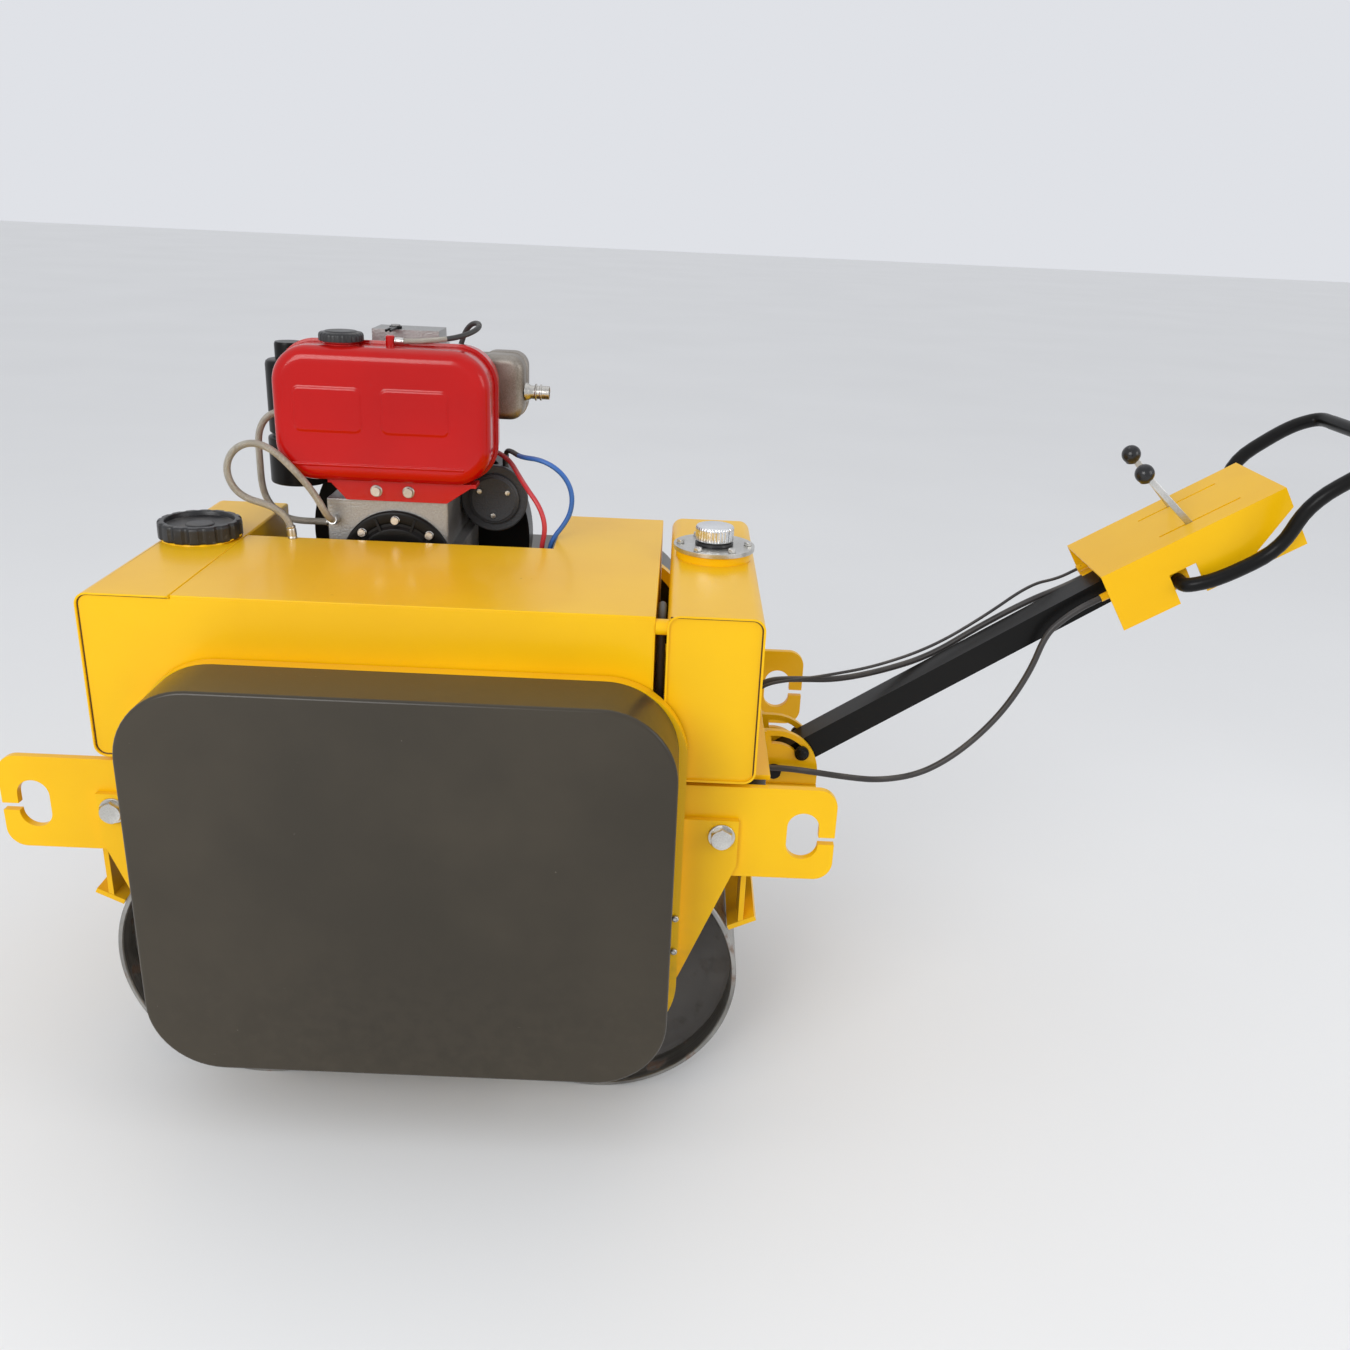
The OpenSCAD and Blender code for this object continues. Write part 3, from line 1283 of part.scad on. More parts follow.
// Steering arm: a square tube with cross sleeves for its two bolts
module arm_section(grow) {
    block([-arm_tail, -arm_w / 2 - grow, -arm_h / 2 - grow],
        [arm_len, arm_w / 2 + grow, arm_h / 2 + grow]);
}
module steering_arm() color([0.15, 0.14, 0.13]) arm_frame() difference() {
    union() {
        difference() {
            arm_section(0);
            block([-arm_tail + arm_wall, -arm_w / 2 + arm_wall, -arm_h / 2 + arm_wall],
                [arm_len + overrun, arm_w / 2 - arm_wall, arm_h / 2 - arm_wall]);
        }
        rod_y(boss_d, -bracket_in_y + seat_gap, bracket_in_y - seat_gap);
        translate(clamp_place) rod_y(1.5 * clamp_d, -arm_w / 2, arm_w / 2);
    }
    rod_y(pivot_d + 2 * run_fit, -arm_w, arm_w);
    translate(clamp_place) rod_y(clamp_d + 2 * run_fit, -arm_w, arm_w);
}
module clamp_bolt() color([0.1, 0.1, 0.1]) arm_frame() translate(clamp_place) {
    rod_y(clamp_d, -bracket_out_y - clamp_nut_t, bracket_out_y + clamp_nut_t);
    both_sides() rod_y(clamp_nut_d, bracket_out_y + seat_gap, bracket_out_y + clamp_nut_t);
}

// Control box: a bent sheet over the arm's end, on two cross plates
module box_side_outline() {
    difference() {
        square([box_len, box_h]);
        polygon([[notch_shares[0][0] * box_len, notch_shares[0][1] * box_h],
            [notch_shares[1][0] * box_len, notch_shares[1][1] * box_h],
            [notch_shares[2][0] * box_len, notch_shares[2][1] * box_h],
            [box_len + overrun, notch_shares[2][1] * box_h],
            [box_len + overrun, notch_shares[0][1] * box_h]]);
        translate([window_u, -overrun]) square([window_w, window_h + overrun]);
    }
}
module control_box() color([0.93, 0.72, 0.1]) box_frame() {
    both_sides() slab_y(box_in_y, box_w / 2) box_side_outline();
    difference() {
        block([0, -box_w / 2, box_h - box_t], [box_len, box_w / 2, box_h]);
        for (y = [-lever_y, lever_y])
            block([lever_slot_u, y - lever_slot_w / 2, box_h - box_t - overrun],
                [lever_slot_u + lever_slot_len, y + lever_slot_w / 2, box_h + overrun]);
    }
    for (u = rib_us) difference() {
        block([u - rib_t / 2, -box_in_y, rib_edge], [u + rib_t / 2, box_in_y, box_h - box_t]);
        rotate([0, -box_lean, 0]) translate([-box_start, 0, box_drop]) arm_section(0);
    }
    both_sides() slab_y(lug_y, lug_y + lug_t) difference() {
        translate([loop_u - lug_w / 2, lug_drop]) square([lug_w, box_h - box_t - lug_drop]);
        translate([loop_u, loop_v]) circle(d = loop_d + 2 * run_fit);
    }
    translate([lever_u, 0, lever_v]) rod_y(rod_d, -box_in_y, box_in_y);
    for (p = adjuster_places) translate([rib_us[0] - rib_t / 2, p[0], p[1]])
        rotate([0, -90, 0]) cylinder(d = adjuster_d, h = adjuster_len);
}

// Loop handle: a bent tube whose cross bar turns in the box's lugs
module loop_side() {
    side = [for (i = [0 : len(loop_u_shares) - 1]) [loop_u_shares[i] * loop_reach,
        -loop_side_ys[i], loop_v_shares[i] * loop_reach]];
    ends = [side[len(side) - 1] + [0, loop_far_y - grip_half + loop_r, 0]];
    tube(bend_path(concat(side, ends), loop_bend, 5), loop_r - run_fit, 12, [0.05, 0.02, 1]);
}
module loop_handle() color([0.16, 0.15, 0.14]) box_frame() translate([loop_u, 0, loop_v]) {
    rod_y(loop_d, -loop_in_y - loop_r / 2, loop_in_y + loop_r / 2);
    both_sides() loop_side();
    translate([loop_reach, 0, loop_v_shares[len(loop_v_shares) - 1] * loop_reach])
        rod_y(loop_d, -grip_half, grip_half);
}

// Levers on the box's cross rod, each with a ball knob
module lever_place(y, lean) {
    box_frame() translate([lever_u, y, lever_v]) rotate([0, -lean, 0]) children();
}
module lever() {
    difference() {
        union() {
            rod_y(lever_hub_d, -lever_hub_t / 2, lever_hub_t / 2);
            block([-lever_w / 2, -lever_t / 2, 0], [lever_w / 2, lever_t / 2, knob_seat]);
        }
        rod_y(rod_d + 2 * run_fit, -lever_hub_t, lever_hub_t);
    }
}
module knob() intersection() {
    translate([0, 0, lever_len]) sphere(d = knob_d);
    translate([-knob_d, -knob_d, knob_seat]) cube(2 * knob_d);
}
module near_lever() color("silver") lever_place(-lever_y, near_lean) lever();
module far_lever() color("silver") lever_place(lever_y, far_lean) lever();
module near_knob() color("black") lever_place(-lever_y, near_lean) knob();
module far_knob() color("black") lever_place(lever_y, far_lean) knob();

// Control cables from the body to the adjusters on the box's first plate
function box_point(u, y, v) = [pivot_x + box_start * cos(arm_angle) + box_drop * sin(arm_angle)
    + u * cos(box_deg) - v * sin(box_deg), y, pivot_z + box_start * sin(arm_angle)
    - box_drop * cos(arm_angle) + u * sin(box_deg) + v * cos(box_deg)];
function into_adjuster(p, i) = concat(p, [for (back = [adjuster_len, seat_gap])
    box_point(rib_us[0] - rib_t / 2 - adjuster_len - back, adjuster_places[i][0],
        adjuster_places[i][1])]);
module control_cables() color([0.12, 0.11, 0.11]) {
    tube(bend_path(into_adjuster(upper_cable, 0), 40, 3), cable_r, 8, [0, 1, 0.1]);
    tube(bend_path(into_adjuster(upper_wire, 1), 40, 3), wire_r, 8, [0, 1, 0.1]);
    tube(bend_path(into_adjuster(lower_cable, 2), 40, 3), cable_r, 8, [0, 1, 0.1]);
}

at_datum() front_drum();
at_datum() front_drum_shaft();
at_datum() rear_drum();
at_datum() rear_drum_shaft();
at_datum() front_idler_gear();
at_datum() rear_idler_gear();
at_datum() idler_pins();
at_datum() travel_gear();
at_datum() travel_motor();
at_datum() drum_bearings();
at_datum() exciter_housing();
at_datum() exciter_shaft();
at_datum() vibration_motor();
at_datum() side_plates();
at_datum() cross_beams();
at_datum() lifting_hooks();
at_datum() hook_bolts();
at_datum() cover_rims();
at_datum() near_cover();
at_datum() far_cover();
at_datum() cover_bolts();
at_datum() drum_scrapers();
at_datum() rubber_mounts();
at_datum() bed_plate();
at_datum() water_tank();
at_datum() water_cap();
at_datum() engine_hood();
at_datum() hydraulic_tank();
at_datum() filler_flange();
at_datum() flange_bolts();
at_datum() filler_cap();
at_datum() oil_hoses();
at_datum() water_pipes();
at_datum() battery();
at_datum() crankcase();
at_datum() pto_cover();
at_datum() crankshaft();
at_datum() hydraulic_pump();
at_datum() engine_cylinder();
at_datum() fuel_tank();
at_datum() tank_bracket();
at_datum() fuel_cap();
at_datum() air_cleaner();
at_datum() muffler();
at_datum() blower_shroud();
at_datum() starter_motor();
at_datum() decompression_lever();
at_datum() fuel_hoses();
at_datum() battery_leads();
at_datum() pivot_bracket();
at_datum() pivot_bolt();
at_datum() steering_arm();
at_datum() clamp_bolt();
at_datum() control_box();
at_datum() loop_handle();
at_datum() near_lever();
at_datum() far_lever();
at_datum() near_knob();
at_datum() far_knob();
at_datum() control_cables();
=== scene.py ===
"""Walk behind roller with two drums: materials and finished shapes round the CAD model.

Sizes in the sections are in millimetres from the drums' middle on the ground, with X to the
handle and Y to the engine side. Meshes are stored in metres in the row frame.
"""

import json
from math import cos, pi, radians, sin

import bmesh
import bpy
import numpy as np
from mathutils import Matrix, Vector

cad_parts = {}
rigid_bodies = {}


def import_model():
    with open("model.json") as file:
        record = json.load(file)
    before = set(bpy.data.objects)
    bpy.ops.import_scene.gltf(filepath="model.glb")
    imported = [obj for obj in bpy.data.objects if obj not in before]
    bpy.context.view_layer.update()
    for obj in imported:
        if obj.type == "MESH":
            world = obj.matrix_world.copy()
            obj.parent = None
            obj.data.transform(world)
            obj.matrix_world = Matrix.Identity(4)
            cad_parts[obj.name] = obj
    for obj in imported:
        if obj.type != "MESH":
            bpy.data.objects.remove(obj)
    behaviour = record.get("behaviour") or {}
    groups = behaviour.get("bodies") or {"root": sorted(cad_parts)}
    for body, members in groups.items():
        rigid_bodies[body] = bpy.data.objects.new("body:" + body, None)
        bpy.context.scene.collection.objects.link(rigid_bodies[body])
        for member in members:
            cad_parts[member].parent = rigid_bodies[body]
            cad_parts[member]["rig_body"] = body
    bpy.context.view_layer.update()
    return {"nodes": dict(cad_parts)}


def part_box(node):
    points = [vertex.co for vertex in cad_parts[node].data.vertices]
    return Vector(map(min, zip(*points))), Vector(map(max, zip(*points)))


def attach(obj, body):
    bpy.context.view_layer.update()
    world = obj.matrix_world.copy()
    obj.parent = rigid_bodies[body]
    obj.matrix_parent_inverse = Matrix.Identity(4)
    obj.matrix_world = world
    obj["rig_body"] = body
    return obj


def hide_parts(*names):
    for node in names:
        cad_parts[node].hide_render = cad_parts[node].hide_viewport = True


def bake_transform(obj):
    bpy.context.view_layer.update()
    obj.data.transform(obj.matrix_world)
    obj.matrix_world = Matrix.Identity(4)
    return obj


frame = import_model()

# Camera. The view is from the gear case's side, 1.3 m up and 1.9 m away, tilted a little
# to its left, with the whole machine in a square picture.
DRUMS_MIDDLE = np.array([-397.063, 0.0, 0.0])
eye = (np.array([351.0, -1882.0, 1342.0]) + DRUMS_MIDDLE) / 1000
yaw, down, roll = (radians(a) for a in (-0.34, 21.29, 2.64))
ahead = Vector((-sin(yaw), cos(yaw), 0))
right = Vector((cos(yaw), sin(yaw), 0))
look = cos(down) * ahead - sin(down) * Vector((0, 0, 1))
up = sin(down) * ahead + cos(down) * Vector((0, 0, 1))
across = cos(roll) * right + sin(roll) * up
upward = cos(roll) * up - sin(roll) * right
photo_side, focal_length = 1350, 1237  # in the photograph's pixels
lens = bpy.data.cameras.new("photo_view")
lens.sensor_width = 36
lens.lens = lens.sensor_width * focal_length / photo_side
lens.clip_end = 60
camera = bpy.data.objects.new("photo_view", lens)
camera.matrix_world = Matrix(
    [[across[i], upward[i], -look[i], eye[i]] for i in range(3)] + [[0, 0, 0, 1]]
)
bpy.context.scene.collection.objects.link(camera)
bpy.context.scene.camera = camera


# Studio. A pale floor that runs out of sight, an even white surround, one large soft lamp
# in front on the left, and weaker ones on the right and above.
class Tone:
    """A number that varies over a surface; sums and products are written as such."""

    def __init__(self, tree, socket):
        self.tree = tree
        self.socket = socket

    def math(self, operation, *others):
        node = self.tree.nodes.new("ShaderNodeMath")
        node.operation = operation
        for place, value in zip(node.inputs, (self,) + others):
            plug(self.tree, value, place)
        return Tone(self.tree, node.outputs[0])

    def __add__(self, other):
        return self.math("ADD", other)

    def __mul__(self, other):
        return self.math("MULTIPLY", other)

    def __sub__(self, other):
        return self.math("SUBTRACT", other)

    def __rsub__(self, other):
        return self.math("MULTIPLY", -1.0).math("ADD", other)

    __radd__ = __add__
    __rmul__ = __mul__

    def between(self, low, high):
        """0 below low, 1 above high, and a soft step between them."""
        node = self.tree.nodes.new("ShaderNodeMapRange")
        node.interpolation_type = "SMOOTHSTEP"
        for name, value in (("Value", self), ("From Min", low), ("From Max", high)):
            plug(self.tree, value, node.inputs[name])
        return Tone(self.tree, node.outputs["Result"])


def plug(tree, value, place):
    """Links a tone or a socket to an input, or writes a plain number or colour into it."""
    if isinstance(value, Tone):
        tree.links.new(value.socket, place)
    elif isinstance(value, bpy.types.NodeSocket):
        tree.links.new(value, place)
    else:
        place.default_value = value


class Skin:
    """One material: its shader, and patterns read at the surface's place in metres."""

    def __init__(self, name, **even):
        self.material = bpy.data.materials.new(name)
        self.material.use_nodes = True
        self.tree = self.material.node_tree
        self.shader = self.tree.nodes["Principled BSDF"]
        self.place = self.node("ShaderNodeTexCoord").outputs["Object"]
        for socket, value in even.items():
            self.shader.inputs[socket.replace("_", " ")].default_value = value

    def node(self, kind, settings=None, **inputs):
        made = self.tree.nodes.new(kind)
        for key, value in (settings or {}).items():
            setattr(made, key, value)
        for key, value in inputs.items():
            plug(self.tree, value, made.inputs[key.replace("_", " ")])
        return made

    def noise(self, scale, detail=3.0, stretch=(1, 1, 1)):
        """Cloudy noise; stretch multiplies each axis, so the pattern is finer along it."""
        place = self.node("ShaderNodeVectorMath", {"operation": "MULTIPLY"})
        plug(self.tree, self.place, place.inputs[0])
        place.inputs[1].default_value = stretch
        node = self.node("ShaderNodeTexNoise", Vector=place.outputs[0], Scale=scale,
                         Detail=detail)
        return Tone(self.tree, node.outputs["Fac"])

    def cells(self, scale):
        """Distance to the nearest of many scattered points."""
        node = self.node("ShaderNodeTexVoronoi", Vector=self.place, Scale=scale)
        return Tone(self.tree, node.outputs["Distance"])

    def axes(self, vector):
        parts = self.node("ShaderNodeSeparateXYZ", Vector=vector).outputs
        return [Tone(self.tree, part) for part in parts]

    def facing_up(self):
        normal = self.node("ShaderNodeNewGeometry").outputs["Normal"]
        return self.axes(normal)[2]

    def mix(self, share, first, second):
        """A colour between two colours."""
        node = self.node("ShaderNodeMix", {"data_type": "RGBA"})
        plug(self.tree, share, node.inputs["Factor"])
        for place, colour in ((node.inputs[6], first), (node.inputs[7], second)):
            plug(self.tree, tuple(colour) + (1,) if isinstance(colour, tuple) else colour, place)
        return node.outputs[2]

    def wear(self, colour, roughness=None, metallic=None, relief=None, depth=0.0002):
        """Links what varies to the shader; relief in shares of depth, which is in metres."""
        for name, value in (("Base Color", colour), ("Roughness", roughness),
                            ("Metallic", metallic)):
            if value is not None:
                plug(self.tree, value, self.shader.inputs[name])
        if relief is not None:
            bump = self.node("ShaderNodeBump", Strength=1.0, Distance=depth, Height=relief)
            self.tree.links.new(bump.outputs["Normal"], self.shader.inputs["Normal"])
        return self


def lamp(name, spot, size, watts):
    """A square soft lamp at a place in metres, turned to the machine."""
    light = bpy.data.lights.new(name, "AREA")
    light.size = size
    light.energy = watts
    holder = bpy.data.objects.new(name, light)
    holder.location = spot
    aim = Vector((-0.2, 0, 0.5)) - Vector(spot)
    holder.rotation_euler = aim.to_track_quat("-Z", "Y").to_euler()
    bpy.context.scene.collection.objects.link(holder)


lamp("window_left", (-1.9, -3.6, 2.3), 2.0, 75)
lamp("window_right", (3.2, -1.6, 2.0), 1.6, 22)
lamp("skylight", (0.2, 0.8, 4.0), 3.2, 9)
surround = bpy.data.worlds.new("studio")
surround.use_nodes = True
surround.node_tree.nodes["Background"].inputs["Color"].default_value = (0.93, 0.95, 1, 1)
surround.node_tree.nodes["Background"].inputs["Strength"].default_value = 0.8
bpy.context.scene.world = surround
bpy.context.scene.view_settings.view_transform = "Standard"

floor_skin = Skin("floor", Roughness=0.7)
floor_skin.wear(floor_skin.mix(floor_skin.noise(0.8), (0.80, 0.80, 0.79), (0.86, 0.86, 0.85)))
floor_mesh = bpy.data.meshes.new("floor")
floor_mesh.from_pydata([(x, y, 0) for x, y in ((-20, -9), (20, -9), (20, 30), (-20, 30))],
                       [], [(0, 1, 2, 3)])
floor = bpy.data.objects.new("floor", floor_mesh)
floor_mesh.materials.append(floor_skin.material)
bpy.context.scene.collection.objects.link(floor)


# Hoses, leads and cables. Fuel and return hoses are rubber in a steel braid with crimped
# ends, the battery leads are blue and red sleeved copper, and the control cables are black
# covered steel that runs from glands in the body to adjusters on the control box.
def along(line):
    """Distance of each point from the line's start."""
    return np.concatenate([[0], np.cumsum(np.linalg.norm(np.diff(line, axis=0), axis=1))])


def points_at(line, distances):
    """The points that lie at those distances along a line."""
    run = along(line)
    return np.stack([np.interp(distances, run, line[:, k]) for k in range(3)], 1)


def smooth_route(points, spacing=4.0):
    """A route's points as one even line: each corner becomes a parabola that runs from the
    middle of the leg before it to the middle of the leg after it."""
    p = np.array(points, float)
    mids = (p[:-1] + p[1:]) / 2
    t = np.linspace(0, 1, 12, endpoint=False)[None, :, None]
    bends = ((1 - t) ** 2 * mids[:-1, None] + 2 * t * (1 - t) * p[1:-1, None]
             + t ** 2 * mids[1:, None])
    line = np.concatenate([p[:1], bends.reshape(-1, 3), mids[-1:], p[-1:]])
    length = along(line)[-1]
    return points_at(line, np.linspace(0, length, max(int(length / spacing), 8)))


def quads(rows, cols):
    """Faces between neighbouring rings of points. Also gives each corner's row and unwrapped
    column, for patterns that follow the surface."""
    i = np.arange(rows - 1)[:, None, None]
    j = np.arange(cols)[None, :, None]
    step_i = np.array([0, 1, 1, 0])[None, None, :]
    step_j = np.array([0, 0, 1, 1])[None, None, :]
    row, col = i + step_i + 0 * j, j + step_j + 0 * i
    faces = (row * cols + col % cols).reshape(-1, 4)
    return faces, row.reshape(-1, 4), col.reshape(-1, 4)


def end_faces(rows, cols):
    """The flat faces that close the first and the last ring of points."""
    return [list(range(cols))[::-1], list(range((rows - 1) * cols, rows * cols))]


def closed_faces(rows, cols):
    """The faces of rings of points with flat ends."""
    return list(quads(rows, cols)[0]) + end_faces(rows, cols)


def piece(name, parts, skin, body="frame", sharp=35, ease=0.0, stands_for=(), flat=True):
    """A finished piece from (points, faces) parts in mm. Doubles are merged, outsides face
    out, edges past an angle stay sharp, and ease rounds them by that many mm. The first
    part may bring its own surface coordinates, which become the UV layer "run"."""
    points, faces, count = [], [], 0
    for part in parts:
        pts = np.asarray(part[0], float).reshape(-1, 3)
        points.append((pts + DRUMS_MIDDLE) / 1000)
        faces += [[int(v) + count for v in face] for face in part[1]]
        count += len(pts)
    mesh = bpy.data.meshes.new(name)
    mesh.from_pydata(np.concatenate(points), [], faces)
    if len(parts[0]) > 2:
        layer = mesh.uv_layers.new(name="run")
        spots = np.zeros((len(mesh.loops), 2))
        spots[:len(parts[0][2])] = parts[0][2]
        layer.data.foreach_set("uv", spots.ravel().astype(np.float32))
    work = bmesh.new()
    work.from_mesh(mesh)
    bmesh.ops.remove_doubles(work, verts=work.verts, dist=1e-6)
    bmesh.ops.recalc_face_normals(work, faces=work.faces)
    work.to_mesh(mesh)
    work.free()
    return dressed(name, mesh, body, skin, sharp, ease, stands_for, flat)


def dressed(name, mesh, body, skin, sharp, ease, stands_for, flat):
    """Shades a mesh, rounds its sharp edges, gives it its material and lets it ride."""
    mesh.shade_smooth()
    mesh.set_sharp_from_angle(angle=radians(sharp))
    mesh.materials.append(skin.material)
    made = bpy.data.objects.new(name, mesh)
    bpy.context.scene.collection.objects.link(made)
    if ease:
        rounding = made.modifiers.new("edges", "BEVEL")
        rounding.width = ease / 1000
        rounding.segments = 2
        rounding.limit_method = "ANGLE"
        rounding.angle_limit = radians(sharp)
    if flat:
        shading = made.modifiers.new("flats", "WEIGHTED_NORMAL")
        shading.weight = 60
        shading.keep_sharp = not ease
    if body:
        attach(made, body)
    for node in stands_for:
        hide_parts(node)
    return made


def sleeve(line, radius, across, sides=14):
    """A tube along a line: a ring of points in the plane across each step. Radius may vary."""
    t = np.gradient(line, axis=0)
    t /= np.linalg.norm(t, axis=1)[:, None]
    n = np.cross(np.array(across, float), t)
    n /= np.linalg.norm(n, axis=1)[:, None]
    m = np.cross(t, n)
    turn = steps_round(sides)[None, :, None]
    wide = np.broadcast_to(radius, len(line))[:, None, None]
    rings = line[:, None] + wide * (np.cos(turn) * n[:, None] + np.sin(turn) * m[:, None])
    faces, row, col = quads(len(line), sides)
    run = along(line)[row] / 1000
    round_it = col * (2 * np.pi * np.mean(radius) / sides) / 1000
    spots = np.stack([run, round_it], -1).reshape(-1, 2)
    return rings, list(faces) + end_faces(len(line), sides), spots


def steps_round(sides):
    """Even angles round a full turn."""
    return np.linspace(0, 2 * np.pi, sides, endpoint=False)


def rings_of(wide, heights):
    """A ring of points for each height, from the radius at each step round the z axis."""
    turn = steps_round(wide.shape[1])
    return np.stack([wide * np.cos(turn), wide * np.sin(turn),
                     np.array(heights)[:, None] + 0 * wide], -1)


def turned(profile, sides):
    """A lathe shape about its own z axis from (radius, height) pairs; poles close."""
    r, h = np.array(profile, float).T
    first, last = end_faces(len(r), sides)
    faces = list(quads(len(r), sides)[0])
    faces += [first] * bool(r[0] > 0.01) + [last] * bool(r[-1] > 0.01)
    return rings_of(np.repeat(r[:, None], sides, 1), h), faces


def stood(part, axis, spot):
    """A shape with its own z axis laid along an axis of the machine, moved to a place."""
    pts = np.asarray(part[0], float).reshape(-1, 3)
    x, y, z = pts.T
    turnings = {"z": (x, y, z), "y": (x, z, -y), "-y": (x, -z, y), "x": (z, x, y)}
    return (np.stack(turnings[axis], 1) + np.array(spot, float), part[1]) + tuple(part[2:])


def lathed(profile, sides, axis, spot):
    """A lathe shape stood along an axis of the machine at a place."""
    return stood(turned(profile, sides), axis, spot)


def ferrule(line, start, length, radius, across):
    """A crimped sleeve round a hose from one distance along it to another, with two beads."""
    share = np.array([0, 0.02, 0.14, 0.2, 0.26, 0.74, 0.8, 0.86, 0.98, 1])
    swell = np.array([0.86, 1.0, 1.0, 0.9, 1.0, 1.0, 0.9, 1.0, 1.0, 0.86])
    return sleeve(points_at(line, start + share * length), radius * swell, across, 18)


def hose(name, points, radius, across, skin, blend=None, sides=14):
    """A free cord along its route. It rides on the frame, or, given blend, rides on no body and
    its place is baked into its points."""
    line = smooth_route(points)
    made = piece(name, [sleeve(line, radius, across, sides)], skin,
                 None if blend else "frame", sharp=60, flat=False)
    if blend:
        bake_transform(made)
    2 * radius / 1000
    return made


def braid(name, bright, dark, count):
    """Steel braid: two sets of wires wind round the hose in opposite ways, and each strand
    is a rounded ridge that goes over and under the others. It reads the hose's own run."""
    skin = Skin(name, Metallic=0.6)
    run, way = skin.axes(skin.node("ShaderNodeUVMap", {"uv_map": "run"}).outputs["UV"])[:2]
    left = ((run + way) * count).math("SINE")
    other = ((run - way) * count).math("SINE")
    weave = left.math("MAXIMUM", other)
    patch = skin.noise(60, 4)
    colour = skin.mix((weave * 0.5 + patch * 0.5).between(0.15, 0.85), dark, bright)
    return skin.wear(colour, patch * 0.3 + 0.3, relief=weave, depth=0.0006)


def rubbery(name, colour, worn, roughness=0.5, grain=900, depth=0.00012):
    """Rubber or moulded plastic: fine matt grain, greyer where it is handled or dusty."""
    skin = Skin(name)
    patch = skin.noise(22, 4)
    dust = (skin.facing_up() * 0.6 + patch).between(0.75, 1.35)
    colour = skin.mix(dust * 0.5, skin.mix(patch, colour, worn), (0.20, 0.19, 0.17))
    return skin.wear(colour, patch * 0.18 + dust * 0.2 + (roughness - 0.1),
                     relief=skin.noise(grain, 2), depth=depth)


steel_braid = braid("steel_braid", (0.78, 0.74, 0.64), (0.20, 0.175, 0.13), 2300)
hose_rubber = rubbery("hose_rubber", (0.02, 0.02, 0.02), (0.05, 0.048, 0.045))
cable_cover = rubbery("cable_cover", (0.02, 0.018, 0.018), (0.045, 0.04, 0.038), 0.42)
blue_cover = rubbery("blue_cover", (0.02, 0.11, 0.42), (0.04, 0.16, 0.5), 0.4)
red_cover = rubbery("red_cover", (0.50, 0.02, 0.03), (0.6, 0.05, 0.06), 0.4)


def plated(name, colour, shade, roughness=0.28):
    """Plated or machined metal: faint cloudy film, tiny pits and turning marks."""
    skin = Skin(name)
    cloud = skin.noise(14, 5)
    fine = skin.noise(480, 3)
    pits = 1 - skin.cells(360).between(0.02, 0.18)
    colour = skin.mix((cloud * 0.7 + fine * 0.3).between(0.35, 0.7), shade, colour)
    return skin.wear(colour, cloud * 0.2 + fine * 0.12 + (roughness - 0.12),
                     metallic=pits * -0.25 + 1.0, relief=fine * 0.6 - pits * 0.5, depth=0.00012)


zinc = plated("zinc", (0.74, 0.73, 0.70), (0.48, 0.47, 0.44))


pivot_x, pivot_z = 531, 462
arm_length, box_above_arm = 586, -43
arm_rise, box_rise = radians(33.4), radians(31)


def box_point(u, y, v):
    """A point in the control box's own axes: u up along the box, v square to it."""
    arm_c, arm_s = cos(arm_rise), sin(arm_rise)
    box_c, box_s = cos(box_rise), sin(box_rise)
    hinge = np.array([pivot_x + arm_length * arm_c - box_above_arm * arm_s, 0,
                      pivot_z + arm_length * arm_s + box_above_arm * arm_c])
    return (hinge + [u * box_c - v * box_s, y, u * box_s + v * box_c]).tolist()


# the control cables cross the arm's pivot, running from the frame to the arm
cable_runs = {
    "throttle_cable": ([[490, 20, 578], [501, 20, 589], [515, 20, 597], [532, 21, 601],
        [571, 24, 602], [630, 28, 602], [705, 32, 620], [781, 33, 650], [856, 34, 705],
        [930, 35, 752], box_point(-40, 36, 56), box_point(-6.3, 36, 56)], 5),
    "stop_wire": ([[490, 2, 578], [500, 2, 588], [512, 2, 597], [530, 5, 602], [560, 9, 606],
        [610, 14, 614], [690, 18, 632], [780, 24, 668], [860, 32, 722], [930, 44, 776],
        box_point(-40, 54, 66), box_point(-6.3, 54, 66)], 2.5),
    "travel_cable": ([[509, -52, 474], [540, -52, 474], [573, -52, 472], [656, -50, 461],
        [706, -48, 458], [763, -48, 470], [808, -48, 497], [852, -48, 539], [893, -48, 594],
        [924, -48, 661], [938, -47, 718], [956, -46, 742], box_point(-40, -46, 46),
        box_point(-6.3, -46, 46)], 5),
}
for name, (points, radius) in cable_runs.items():
    cable = hose(name, points, radius, (0, 1, 0.1), cable_cover,
                 blend=((560, 0, 480), (900, 0, 704)))
    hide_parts("control_cables")

